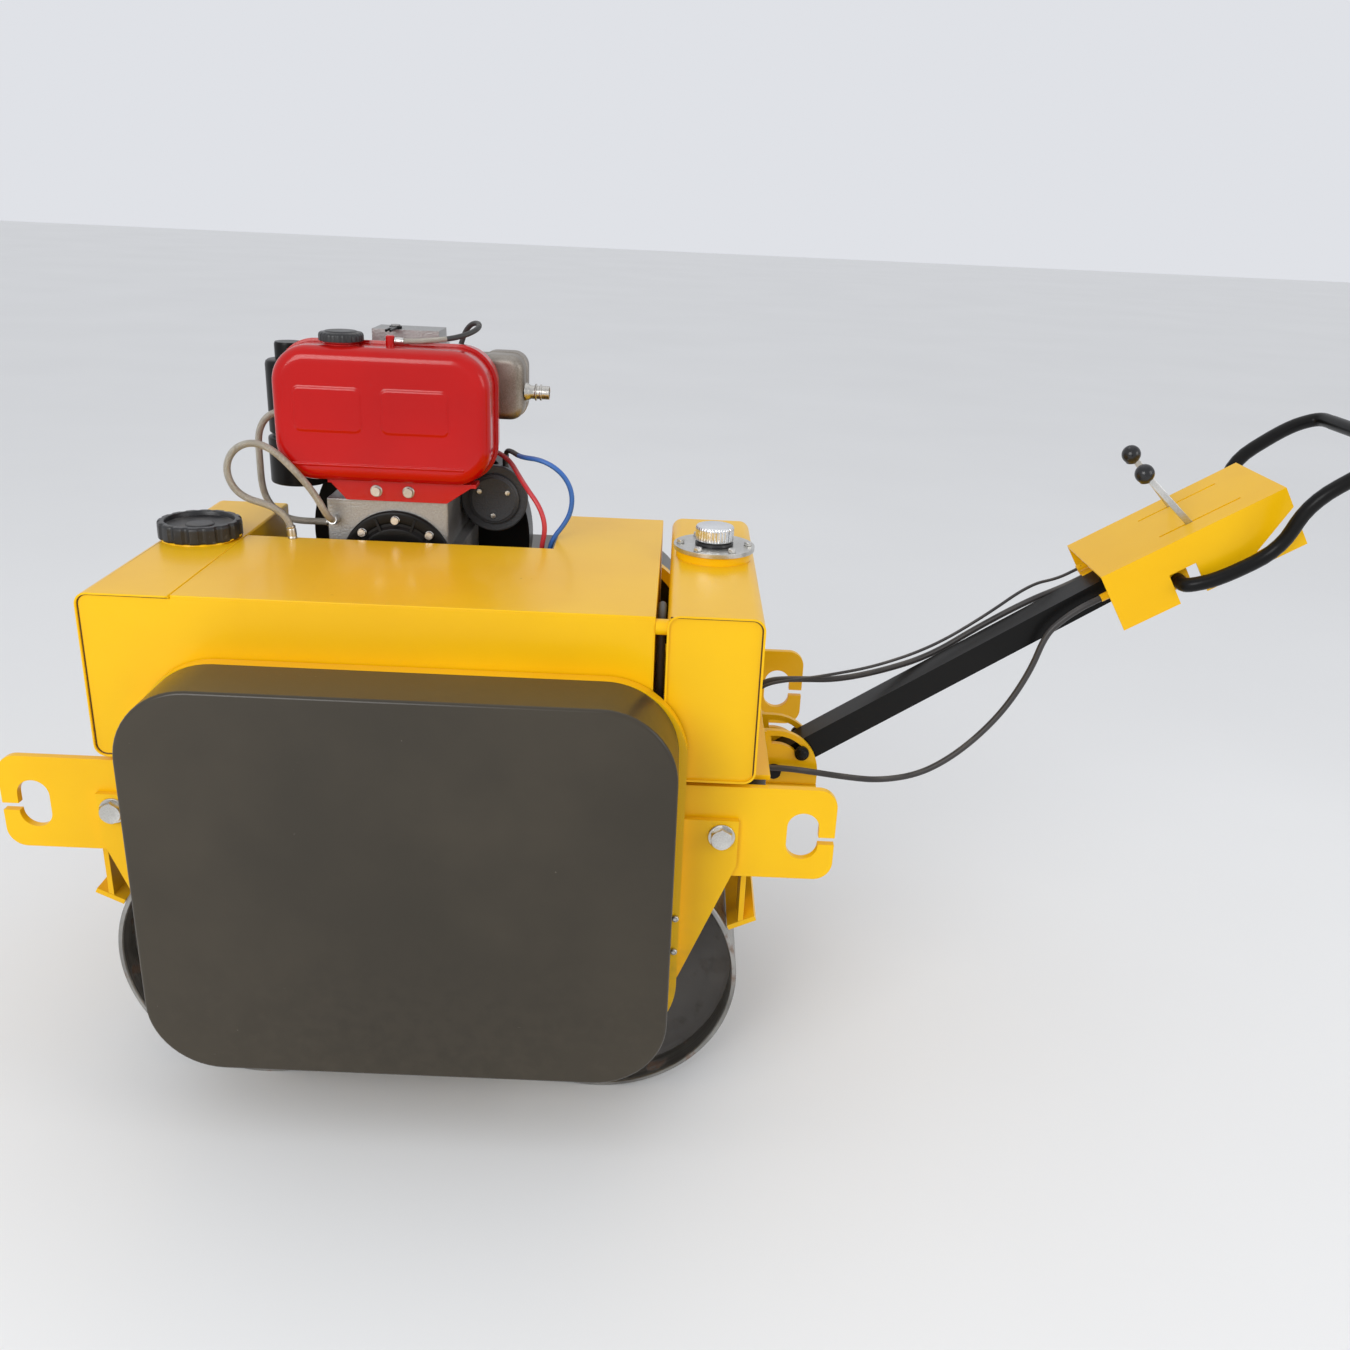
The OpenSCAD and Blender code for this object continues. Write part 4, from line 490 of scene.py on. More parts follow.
hose_runs = {
    "fuel_feed_hose": ([[-251, 10, 808], [-251, 10, 822], [-257, 10, 840], [-272, 10, 854],
        [-292, 10, 862], [-316, 10, 868], [-334, 10, 880], [-344, 10, 898], [-346, 10, 918],
        [-338, 10, 938], [-322, 10, 952], [-302, 10, 957], [-282, 10, 952], [-264, 10, 940],
        [-246, 10, 922], [-228, 10, 902], [-213, 10, 882], [-203, 10, 864], [-197, 15, 848],
        [-193, 25, 838], [-192, 37, 832], [-192, 50, 832]],
        5.5, (0, 1, 0.1), "fuel_hoses", steel_braid, 14, 20),
    "fuel_side_hose": ([[-275, 104, 990], [-292, 104, 989], [-309, 104, 980], [-320, 104, 964],
        [-325, 104, 944], [-325, 104, 910], [-325, 104, 872], [-320, 104, 849], [-308, 104, 830],
        [-291, 104, 817], [-270, 104, 812], [-236, 104, 812], [-205, 104, 812]],
        5.5, (0, 1, 0.1), "fuel_hoses", steel_braid, 14, 16),
    "return_hose": ([[-90, 66, 1112], [-72, 66, 1112], [-48, 68, 1113], [-24, 76, 1115],
        [0, 88, 1118], [20, 102, 1124], [31, 120, 1131], [28, 141, 1136], [14, 156, 1134],
        [2, 163, 1121], [-4, 164, 1104], [-10, 164, 1088], [-21, 164, 1077], [-35, 164, 1074]],
        4, (0, 1, 0.2), "oil_hoses", steel_braid, 12, 14),
    "sight_hose": ([[339, -262, 565], [339, -262, 640], [339, -262, 700], [339, -262, 734],
        [339, -262, 770], [339, -236, 796], [339, -200, 796], [339, -174, 770], [339, -174, 734],
        [339, -174, 700], [339, -174, 640], [339, -174, 565]],
        6, (1, 0.1, 1), "oil_hoses", hose_rubber, 14, 26),
    "blue_battery_lead": ([[60, 198, 897], [60, 198, 914], [64, 186, 927], [76, 160, 931],
        [90, 128, 931], [106, 98, 934], [130, 80, 936], [156, 75, 926], [176, 75, 906],
        [185, 75, 880], [182, 75, 852], [170, 75, 830], [156, 76, 812], [148, 77, 792],
        [147, 80, 772], [156, 84, 756], [176, 87, 750], [202, 88, 750]],
        4, (1, 0.1, 0.3), "battery_leads", blue_cover, 12, 22),
    "red_battery_lead": ([[32, 198, 897], [32, 198, 914], [38, 186, 926], [56, 164, 926],
        [78, 136, 918], [94, 104, 904], [112, 80, 886], [130, 68, 866], [140, 63, 844],
        [142, 62, 822], [136, 66, 796], [136, 76, 772], [144, 92, 754], [154, 116, 750],
        [164, 142, 750], [178, 162, 750], [202, 172, 750]],
        4, (1, 0.1, 0.3), "battery_leads", red_cover, 12, 22),
}
# shares of the length between which a black sheath covers the hose or lead
black_sheaths = {"return_hose": (0.30, 0.84), "blue_battery_lead": (0.06, 0.24)}
for name, (points, radius, wide, node, skin, sides, end) in hose_runs.items():
    lead = node == "battery_leads"
    line = smooth_route(points)
    reach = along(line)[-1]
    sheaths = []
    if name in black_sheaths:
        covered = points_at(line, np.linspace(*black_sheaths[name], 60) * reach)
        sheaths = [piece(name + "_sheath", [sleeve(covered, radius * 1.03, wide)],
                         hose_rubber, sharp=60, flat=False)]
    ends = piece(name + "_ends",
                 [ferrule(line, start, end, radius * 1.32, wide) for start in (0, reach - end)],
                 hose_rubber if lead else zinc, sharp=40)
    made = hose(name, points, radius, wide, skin,
                sides=sides)
    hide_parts(node)


# Drums. Each is a rolled steel shell with chamfered rims on two end webs, welded in 45 mm
# from the rims and bored for the shaft's hub. Ground and stones polish the shell.
def bare_steel(name):
    """Rolled steel: streaks round the drum where it rolls, rust specks, and end webs coloured dark
    as painted shade in the recessed drum ends.
    """
    skin = Skin(name)
    y = skin.axes(skin.place)[1]
    inward = skin.axes(skin.node("ShaderNodeNewGeometry").outputs["Normal"])[1]
    inside = 1 - y.math("ABSOLUTE").between(0.235, 0.24)
    web = inward.math("ABSOLUTE").between(0.55, 0.8) * inside
    streak = skin.noise(9, 4, (1, 42, 1))
    patch = skin.noise(16, 5)
    rust = (skin.noise(34, 6) + patch * 0.6).between(0.88, 1.02)
    metal = skin.mix((streak * 0.6 + patch * 0.4).between(0.3, 0.72),
                     (0.17, 0.165, 0.155), (0.44, 0.43, 0.41))
    metal = skin.mix(rust * 0.7, metal, (0.16, 0.075, 0.035))
    # painted shade: the end webs get a dark colour that stands for the shade in the drum's recessed
    # ends
    painted_web_shade = skin.mix(patch, (0.055, 0.05, 0.045), (0.12, 0.11, 0.10))
    return skin.wear(colour=skin.mix(web, metal, painted_web_shade),
                     roughness=streak * 0.25 + rust * 0.3 + web * 0.15 + 0.25,
                     metallic=(1 - web) * (1 - rust * 0.8) * 0.9,
                     relief=streak * 0.5 + rust * 0.4 + skin.noise(700, 2) * 0.2, depth=0.0003)


def ring_section(profile):
    """A closed section turned round an axis, as on a hollow drum or a pulley."""
    rings, faces = turned(list(profile) + [profile[0]], 128)
    return rings, [f for f in faces if len(f) == 4]


axle_x, drum_r = 264, 212.5


def drum(name, x, body, node):
    """A shell and its two end webs as one closed section, turned round the axle at x."""
    half = [(204.5, 229), (204.5, 268), (206, 270), (210.5, 270), (212.5, 268)]
    web = [(25.2, 224.2), (26.4, 225), (47, 225), (49, 222), (62, 218), (120, 217.5),
           (176, 218), (186, 223), (197, 224), (201, 226)]
    section = [(r, -h) for r, h in web + half] + [(r, h) for r, h in (web + half)[::-1]]
    part = ring_section(section)
    piece(name, [stood(part, "y", (x, 0, drum_r))], bare_steel(name + "_steel"),
          body, sharp=32, stands_for=[node])


drum("front_roller", -axle_x, "front_drum_body", "front_drum")
drum("rear_roller", axle_x, "rear_drum_body", "rear_drum")


# Gear train, shafts, bearings and exciter behind the covers. Turned and hobbed steel with a
# film of dark grease; motors and bearing flanges are cast iron in dark grey.
def eased(node, ease, skin, sharp=32, flat=True, reshaped=None):
    """A copy of a CAD node's mesh with its edges rounded by that many mm. Where the real
    piece differs a little from the solid, reshaped moves the copy's points, in mm."""
    source = frame["nodes"][node].data
    places = np.zeros(len(source.vertices) * 3)
    source.vertices.foreach_get("co", places)
    if reshaped:
        moved = reshaped(places.reshape(-1, 3) * 1000 - DRUMS_MIDDLE)
        places = ((moved + DRUMS_MIDDLE) / 1000).ravel()
    corners = np.zeros(len(source.loops), int)
    source.loops.foreach_get("vertex_index", corners)
    mesh = bpy.data.meshes.new(node + "_finished")
    mesh.from_pydata(places.reshape(-1, 3), [], corners.reshape(-1, 3).tolist())
    work = bmesh.new()
    work.from_mesh(mesh)
    bmesh.ops.remove_doubles(work, verts=work.verts, dist=2e-6)
    bmesh.ops.dissolve_limit(work, angle_limit=radians(0.6), verts=work.verts,
                             edges=work.edges)
    work.to_mesh(mesh)
    work.free()
    body = frame["nodes"][node]["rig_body"]
    return dressed(node + "_finished", mesh, body, skin, sharp, ease, [node], flat)


def greased(name, steel, grease):
    """Machined steel under a film of grease that gathers in darker smears."""
    skin = Skin(name)
    smear = skin.noise(18, 5).between(0.38, 0.66)
    lines = skin.noise(60, 2, (1, 18, 1))
    return skin.wear(colour=skin.mix(smear, steel, grease),
                     roughness=0.2 + 0.22 * smear + lines * 0.1,
                     metallic=1 - 0.7 * smear, relief=lines * 0.5 + smear, depth=0.0004)


def cast(name, light, dark, roughness, metal=0.0):
    """Sand cast surface: pebbled skin, darker in its low places, with oil stains."""
    skin = Skin(name)
    grit = skin.noise(320, 4)
    stain = skin.noise(11, 5).between(0.42, 0.72)
    return skin.wear(colour=skin.mix(stain * 0.7, skin.mix(grit, dark, light), dark),
                     roughness=roughness - stain * 0.18 + grit * 0.1, metallic=metal + grit * 0.1,
                     relief=grit + skin.noise(90, 3) * 0.6, depth=0.0006)


gear_steel = greased("gear_steel", (0.42, 0.41, 0.39), (0.06, 0.045, 0.03))
motor_iron = cast("motor_iron", (0.10, 0.105, 0.11), (0.035, 0.035, 0.037), 0.5)
for node in ("front_idler_gear", "rear_idler_gear", "travel_gear"):
    eased(node, 0.5, gear_steel, sharp=34)
eased("idler_pins", 0.8, gear_steel)


def oil_gap(x, z, film=0.05):
    """Gives a function that draws a shaft's points in toward its line at (x, z) by a film
    of oil, so that its facets clear the bearings as it turns."""
    def thinner(p):
        across = p[:, ::2] - (x, z)
        p[:, ::2] -= across * (film / np.maximum(np.hypot(*across.T), 1))[:, None]
        return p
    return thinner


exciter_x, exciter_z = 0, 430
for node, x, z in (("front_drum_shaft", -axle_x, drum_r), ("rear_drum_shaft", axle_x, drum_r),
                   ("exciter_shaft", exciter_x, exciter_z)):
    eased(node, 0.5, gear_steel, sharp=34, reshaped=oil_gap(x, z))
for node in ("travel_motor", "vibration_motor", "drum_bearings"):
    eased(node, 1.5, motor_iron)


# Frame. Flame cut plates and folded sections, welded and sprayed yellow: side plates, lifting
# hooks, cross beams, scrapers, bed plate and the rims that the gear case covers sit on.
def enamel(name, colour, deep, primer, roughness=0.3, coat=0.08, shine=0.2, dusty=0.03,
           soil=0.3, chips=0.5):
    """Sprayed enamel: slight orange peel, paler dust on tops, grime near the ground, and
    small chips and hair scratches down to the primer."""
    skin = Skin(name, Coat_Weight=coat, Coat_Roughness=0.1, Specular_IOR_Level=shine)
    z = skin.axes(skin.place)[2]
    patch = skin.noise(3.5, 4)
    fine = skin.noise(55, 5)
    dust = (skin.facing_up() * 0.55 + patch * 0.5 + fine * 0.25).between(0.62, 1.15)
    grime = (1 - z.between(0.12, 0.42)) * (patch * 0.6 + fine * 0.6).between(0.5, 0.8)
    hair = skin.noise(24, 2, (1, 1, 14)).between(0.79, 0.80)
    chip = (skin.noise(110, 3) + skin.noise(7, 2) * 0.5).between(1.07, 1.09)
    mark = (hair * 0.35 + chip).math("MINIMUM", 1.0) * chips
    base = skin.mix(patch.between(0.3, 0.7), colour, deep)
    base = skin.mix(dust * dusty, base, (0.55, 0.50, 0.42))
    base = skin.mix(grime * soil, base, (0.13, 0.10, 0.07))
    return skin.wear(colour=skin.mix(mark, base, primer),
                     roughness=roughness + dust * dusty * 0.7 + grime * soil * 0.6 + mark * 0.3,
                     relief=skin.noise(420, 2) * 0.25 + skin.noise(9, 2) * 1.2 - mark * 1.5,
                     depth=0.00025)


yellow = enamel("yellow_enamel", (0.90, 0.52, 0.003), (0.84, 0.46, 0.002), (0.12, 0.07, 0.03))
for node, ease in (("side_plates", 1.2), ("cross_beams", 1.8), ("lifting_hooks", 1.6),
                   ("drum_scrapers", 1.2), ("bed_plate", 1.2), ("exciter_housing", 1.0),
                   ("pivot_bracket", 1.4)):
    eased(node, ease, yellow)


def set_in(p):
    """The rim keeps its sides, but its top lies 12 mm lower, flush with the cover's band."""
    drop, from_z, over = 12, 600, 60
    share = np.clip((p[:, 2] - from_z) / over, 0, 1)
    return p - np.outer(drop * share * share * (3 - 2 * share), [0, 0, 1])


eased("cover_rims", 0.8, yellow, reshaped=set_in)


# Rubber mounts. A block of rubber with a waist, bonded between two steel discs, at each
# corner of the bed. They keep the drums' shaking from the body and the handle.
bond = [(0, 0), (24, 0), (25, 1), (25, 3), (24.2, 4), (22.6, 6.5), (22, 12), (21.8, 18.5)]
bond = bond + [(r, 37 - h) for r, h in bond[::-1][1:]]
block_rubber = rubbery("block_rubber", (0.028, 0.028, 0.03), (0.07, 0.068, 0.065), 0.6, 300, 0.0002)
mount_xs, mount_y, mount_z = (-438, 480), 235, 520
piece("bonded_mounts", [stood(turned(bond, 40), "z", (x, y, mount_z))
                        for x in mount_xs for y in (-mount_y, mount_y)],
      block_rubber, stands_for=["rubber_mounts"])


# Gear case covers. Each is a deep tray pressed from 3 mm sheet with a flat face, a rounded
# front edge and wide corners, painted dark brown and bolted to its rim.
def corner_ring(x0, x1, z0, z1, r, corner, long, short):
    """Points round a rounded rectangle, with the same count however wide it is."""
    r = min(r, (x1 - x0) / 2, (z1 - z0) / 2)
    turn = np.linspace(0, np.pi / 2, corner + 1)
    ring = []
    middles = [(x1 - r, z1 - r, 0), (x0 + r, z1 - r, 1), (x0 + r, z0 + r, 2), (x1 - r, z0 + r, 3)]
    for k, (cx, cz, quarter) in enumerate(middles):
        arc = np.stack([cx + r * np.cos(turn + quarter * np.pi / 2),
                        cz + r * np.sin(turn + quarter * np.pi / 2)], 1)
        nx, nz, after = middles[(k + 1) % 4]
        start = np.array([nx + r * np.cos(after * np.pi / 2), nz + r * np.sin(after * np.pi / 2)])
        count = long if k % 2 == 0 else short
        share = np.linspace(0, 1, count + 1)[1:-1, None]
        ring += [arc, arc[-1] * (1 - share) + start * share]
    return np.concatenate(ring)


def tray(x0, x1, z0, z1, r, profile, corner, long, short, bulge=None):
    """Rings of a rounded rectangle, each set in and moved across by a profile of (inset, y).
    The first and last ring are closed by flat faces. A bulge adds to y by (x, z, inset)."""
    rings = []
    for inset, y in profile:
        flat = corner_ring(x0 + inset, x1 - inset, z0 + inset, z1 - inset, max(r - inset, 0.4),
                           corner, long, short)
        lift = bulge(flat[:, 0], flat[:, 1], inset) if bulge else 0
        rings.append(np.stack([flat[:, 0], y + lift + 0 * flat[:, 0], flat[:, 1]], 1))
    return np.concatenate(rings), closed_faces(len(rings), len(rings[0]))


def round_edge(r, y, steps):
    """(inset, y) pairs round a quarter circle, from the flat side at y in to the wall."""
    turn = np.linspace(0, np.pi / 2, steps)
    return [(r * (1 - np.sin(a)), y + r * (1 - np.cos(a))) for a in turn]


def mirrored(profile, middle_y):
    """A tray's profile again on the other side of middle_y, in the opposite order."""
    return [(inset, 2 * middle_y - y) for inset, y in profile[::-1]]


brown = enamel("brown_satin", (0.046, 0.037, 0.024), (0.031, 0.025, 0.016), (0.16, 0.14, 0.11),
               roughness=0.3, coat=0.1, shine=0.3, dusty=0.03, soil=0.1, chips=0.7)


def cover(name, side, node):
    """One cover: its sheet's profile from the inner face out over the lip at the rim, along
    the outside, round the front edge and in over the face."""
    face_y, edge_r, inside_y, lip_y = 425, 5, 421.4, 323

    def sway(x, z, inset):
        """The sheet isn't dead flat: it bellies by up to 1 mm between its edges."""
        edge = np.clip((inset - 9) / 60, 0, 1)
        return -side * edge * (1.0 - 0.5 * np.cos(x / 170) * np.cos((z - 426) / 140))

    inner = [(240, inside_y), (9, inside_y), (4, 420.6), (3, 418), (3, lip_y + 0.2)]
    lip = [(0.6, lip_y), (0, lip_y + 0.8)]
    outer = mirrored(round_edge(edge_r, -face_y, 6), 0)
    face = [(inset, face_y) for inset in (9, 16, 26, 45, 70, 110, 170, 240)]
    profile = [(inset, side * y) for inset, y in inner + lip + outer + face]
    piece(name, [tray(-371, 371, 131, 721, 105, profile, 14, 24, 16, sway)], brown,
          sharp=50, stands_for=[node])


cover("gear_case_cover", -1, "near_cover")
cover("far_case_cover", 1, "far_cover")


# Bolts of the frame. M20 hook bolts have hex heads with turned corners on plain washers; the
# covers are held by small pan heads. All are bright zinc.
def hex_head(across_flats, height, washer, washer_r):
    """A hex prism whose corners are turned off by a cone, on a washer; z runs outward."""
    sides = 72
    sector = (steps_round(sides) + np.pi / 6) % (np.pi / 3) - np.pi / 6
    prism = across_flats / 2 / np.cos(sector)
    levels = [washer] + [height - share * across_flats for share in (0.16, 0.11, 0.06, 0.025, 0)]
    rows = [np.minimum(prism, across_flats / 2 + (height - h) * 0.9 + 0.01) for h in levels]
    rows.append(0.86 * np.minimum(prism, across_flats / 2))
    levels.append(height)
    rings = rings_of(np.array(rows), levels)
    rim = [(0, 0), (washer_r - 0.5, 0), (washer_r, 0.5), (washer_r, washer - 0.5),
           (washer_r - 0.6, washer), (0, washer)]
    return [(rings, closed_faces(len(rows), sides)), turned(rim, 40)]


def many(parts, places, axis):
    """The same parts stood along an axis at each place."""
    return [stood(part, axis, place) for place in places for part in parts]


def outward(y):
    """The axis that points away from the machine's middle at y."""
    return "y" if y > 0 else "-y"


hook_face_y, hook_bolt_z, shank = 303, 480, 22
hook_spots = [(end * x, side * hook_face_y, hook_bolt_z)
              for end in (-1, 1) for x in (340, 438) for side in (-1, 1)]
heads = [part for spot in hook_spots
         for part in many(hex_head(30, 13, 3, 19.5), [spot], outward(spot[1]))]
rod = [(0, 0), (9.2, 0), (10, 0.8), (10, shank - 0.1), (0, shank - 0.1)]
shanks = [lathed(rod, 32, "y", (x, y - shank if y > 0 else y, z)) for x, y, z in hook_spots]
piece("hook_bolt_set", heads + shanks, zinc, stands_for=["hook_bolts"])

pan = [(0, 5), (2.6, 5), (2.6, 3.2), (3.4, 3.2), (3.4, 5), (4.1, 4.8), (4.9, 3.9), (5.3, 2.4),
       (5.3, 0), (0, 0)]
stem = [(0, 0), (3.5, 0), (3.5, 30), (0, 30)]
cover_bolt_x, rim_face_y = 377, 323
cover_spots = [(end * cover_bolt_x, side * rim_face_y, z)
               for end in (-1, 1) for side in (-1, 1) for z in (296.2, 352.84)]
pans = [lathed(pan, 28, outward(y), (x, y, z)) for x, y, z in cover_spots]
stems = [lathed(stem, 20, outward(-y), (x, y, z)) for x, y, z in cover_spots]
piece("cover_bolt_set", pans + stems, zinc, stands_for=["cover_bolts"])


# Body. Tanks and engine hood are folded from 3 mm sheet with 18 mm corners and inset end
# plates, welded, ground and sprayed yellow. One flat plate closes the near side of both.
for node, ease in (("engine_hood", 1.6), ("hydraulic_tank", 1.4)):
    eased(node, ease, yellow)


def squared(p):
    """The tank's edges beside the hood are folded square: each point of the two round corners
    goes out along its radius to the square, and the side wall ends flush with the plate."""
    corner_x, wall_x, deck_z, wall_y = -343, -328.2, 805.1, -299
    for mid, way in ((790, 1), (583, -1)):
        out, rise = p[:, 0] - corner_x, (p[:, 2] - mid) * way
        corner = (out > 0.01) & (rise > 0.01)
        longest = np.maximum(np.maximum(out, rise), 0.01)
        stretch = np.where(corner, np.hypot(out, rise) / longest, 1)
        p[:, 0], p[:, 2] = out * stretch + corner_x, rise * stretch * way + mid
    side = (p[:, 0] > wall_x) & (p[:, 2] < deck_z) & (p[:, 1] < wall_y)
    p[side, 1] = wall_y
    return p


def upright(points, y):
    """Flat points (x, z) stood up at y."""
    return np.stack([points[:, 0], 0 * points[:, 0] + y, points[:, 1]], 1)


eased("water_tank", 1.2, yellow, reshaped=squared)
arc = np.linspace(0, np.pi / 2, 9)
front_x, top_z, foot_z, fold_r = -435.6, 790, 583, 14
outline = np.concatenate([
    np.stack([front_x - fold_r * np.sin(arc), top_z + fold_r * np.cos(arc)], 1),
    np.stack([front_x - fold_r * np.cos(arc), foot_z - fold_r * np.sin(arc)], 1),
    [[328.6, foot_z - fold_r], [328.6, top_z + fold_r]]])
plate = np.concatenate([upright(outline, y) for y in (-297, -299.3)])
piece("near_side_plate", [(plate, closed_faces(2, len(outline)))], yellow,
      ease=0.2)
# painted shadow: a dark orange-brown material for the strips that stand in for the shade in the
# seams
seam_shadow_skin = rubbery("groove_shadow", (0.10, 0.035, 0.006), (0.05, 0.02, 0.005), 0.6)
# painted shadow: thin dark strips beside the plate's edge and round the oil tank's end plate stand
# in for the shade in the seams' grooves
beside = np.array([[-0.9, 0.6]] * len(arc) + [[-0.9, -0.6]] * len(arc))
rim_line = np.concatenate([[[-327, 804.2]], outline[:2 * len(arc)] + beside, [[-330, 568.2]]])
end_line = np.concatenate([
    [[351, 808]], np.stack([462.2 + 15 * np.sin(arc), 793 + 15 * np.cos(arc)], 1), [[477.2, 570]]])
piece("seam_shadow_strips",
      [sleeve(upright(line, -299.2), 1.1, (0, 1, 0), 8)[:2] for line in (rim_line, end_line)],
      seam_shadow_skin, sharp=70)


# Water cap. Black moulded plastic with sixteen grips round its rim and a dished top. It
# screws onto the tank's filler neck by hand.
def rubbed_plastic(name, deep, worn, roughness=0.38):
    """Moulded plastic: fine grain, grey scuffs on its high places and settled dust."""
    skin = Skin(name, Specular_IOR_Level=0.45)
    cloud = skin.noise(30, 5)
    scuff = (skin.noise(140, 4) + cloud * 0.5).between(0.86, 1.02)
    dust = (skin.facing_up() * 0.5 + cloud * 0.8).between(0.78, 1.2)
    colour = skin.mix(scuff * 0.5, skin.mix(cloud, deep, worn), (0.13, 0.13, 0.125))
    return skin.wear(colour=skin.mix(dust * 0.35, colour, (0.26, 0.24, 0.21)),
                     roughness=cloud * 0.15 + scuff * 0.2 + dust * 0.15 + (roughness - 0.1),
                     relief=skin.noise(1100, 2) + scuff * 0.6, depth=0.00012)


moulded = rubbed_plastic("black_plastic", (0.012, 0.012, 0.013), (0.025, 0.025, 0.026))


def fluted(profile, count, bite, sides=192):
    """A lathe shape whose rim is scooped: the radius falls by bite at each of count grips,
    by a rounded cosine that is steepest at the scoop's edges."""
    r, h, share = np.array(profile, float).T
    scoop = np.clip((np.cos(count * steps_round(sides)) - 0.1) / 0.9, 0, 1) ** 0.7
    wide = r[:, None] - bite * share[:, None] * scoop
    return rings_of(wide, h), list(quads(len(r), sides)[0])


rim = [(0, 7, 0), (52, 7, 0), (54.6, 6, 0), (55, 0, 0), (62, 0, 1), (62.8, 0.8, 1), (63, 3, 1),
       (63, 20, 1), (62.6, 23, 1), (61.4, 25.2, 1), (59.4, 26, 1), (54, 26, 0.4), (52.4, 25.4, 0),
       (51.4, 23.6, 0), (50.6, 19, 0), (48, 17.8, 0), (30, 17, 0), (22, 17.2, 0), (20.6, 19, 0),
       (18, 19.6, 0), (0, 19.8, 0)]
water_neck = (-389.5, -5, 811)
piece("water_filler_cap", [stood(fluted(rim, 16, 3.2), "z", water_neck)], moulded,
      "water_cap_body", sharp=40, stands_for=["water_cap"])


# Oil filler. A zinc plated flange on a welded collar, held by six small hex screws, with a
# knurled chrome cap on a black ring.
eased("filler_flange", 0.8, zinc)
filler_x, flange_z, cap_z, screw_circle = 414, 832, 832.3, 52.7
ring_spots = [(filler_x + screw_circle * cos(k * pi / 3),
               screw_circle * sin(k * pi / 3), flange_z) for k in range(6)]
thread = [(0, 0), (3.6, 0), (4, 0.5), (4, 9), (0, 9)]
piece("flange_screws", many(hex_head(11.2, 5.5, 1.2, 6.4), ring_spots, "z")
      + [lathed(thread, 20, "z", (x, y, z - 9)) for x, y, z in ring_spots],
      zinc, stands_for=["flange_bolts"])
chrome = plated("chrome", (0.82, 0.83, 0.84), (0.66, 0.67, 0.68), 0.14)
lid = [(0, 29.2, 0), (12, 29.3, 0), (20, 29.6, 0), (22, 30, 0), (26, 30, 0.2), (28.6, 29, 0.6),
       (29.8, 27, 1), (30, 24, 1), (30, 9, 1), (29.6, 7.4, 1), (28.6, 6.2, 0.6), (26, 5.6, 0),
       (24, 5.4, 0), (22.6, 4, 0), (22.4, 0, 0), (0, 0, 0)]
plug_end = [(0, 0), (21.4, 0), (21.8, -0.6), (21.8, -6.6), (21, -7), (0, -7)]
piece("chrome_cap", [stood(fluted(lid, 36, 0.7, 288), "z", (filler_x, 0, cap_z)),
                     lathed(plug_end, 48, "z", (filler_x, 0, cap_z - 0.1))],
      chrome, "filler_cap_body", sharp=40, stands_for=["filler_cap"])
gasket = [(23.4, 0.1), (29.2, 0.1), (29.9, 0.8), (29.9, 3.4), (29.2, 4.2), (26, 4.6), (23.4, 4.6)]
piece("cap_gasket", [stood(ring_section(gasket), "z", (filler_x, 0, cap_z))], moulded,
      "filler_cap_body")


# Battery. A black moulded case with two lead posts, stood on the bed plate under the
# hood's deck.
eased("battery", 1.6, moulded)


# Diesel engine. Its crankcase, cylinder and head are cast aluminium, dull and oily. Fins
# ring the cylinder, and a ribbed black ring with eight bolts closes the drive end.
alloy = cast("cast_alloy", (0.50, 0.50, 0.49), (0.24, 0.235, 0.225), 0.45, 0.7)
iron = cast("engine_iron", (0.06, 0.062, 0.065), (0.028, 0.028, 0.03), 0.45)
eased("crankcase", 4.0, alloy)
eased("engine_cylinder", 0.5, alloy)
eased("crankshaft", 0.8, gear_steel)
eased("hydraulic_pump", 2.0, iron)
crank_x, crank_z, drive_end_y = -95, 760, 50
crank_end = (crank_x, drive_end_y, crank_z)
ring = [(38, 0), (38, 9.5), (42, 11.6), (58, 12), (62, 11), (66, 6.5), (70, 6), (73, 7.5), (84, 8),
        (88, 6.8), (90, 4), (90, 0)]
# a rib's eight corners as (radius, half width, height), and its faces
rib_corners = ((60, 3, 0), (60, -3, 0), (88, -3, 0), (88, 3, 0),
               (60, 2, 11.4), (60, -2, 11.4), (84, -2, 9), (84, 2, 9))
rib_faces = [[0, 1, 2, 3], [4, 7, 6, 5], [0, 4, 5, 1], [1, 5, 6, 2], [2, 6, 7, 3], [3, 7, 4, 0]]
ribs = []
for k in range(8):
    a = radians(22.5 + 45 * k)
    c, s = cos(a), sin(a)
    rib = np.array([[r * c - w * s, -y, r * s + w * c] for r, w, y in rib_corners])
    ribs.append((rib + crank_end, rib_faces))
black = enamel("black_enamel", (0.008, 0.0075, 0.007), (0.005, 0.005, 0.005), (0.06, 0.055, 0.05),
               roughness=0.32, coat=0.02, shine=0.15, dusty=0.02, chips=0.3)
piece("drive_end_ring", [stood(ring_section(ring), "-y", crank_end)] + ribs, black,
      sharp=30, stands_for=["pto_cover"])
bolt_circle = 76
ring_bolts = [(crank_x + bolt_circle * cos(k * pi / 4), drive_end_y - 8,
               crank_z + bolt_circle * sin(k * pi / 4)) for k in range(8)]
piece("drive_end_bolts", many(hex_head(12, 6, 1.2, 7), ring_bolts, "-y"), zinc)


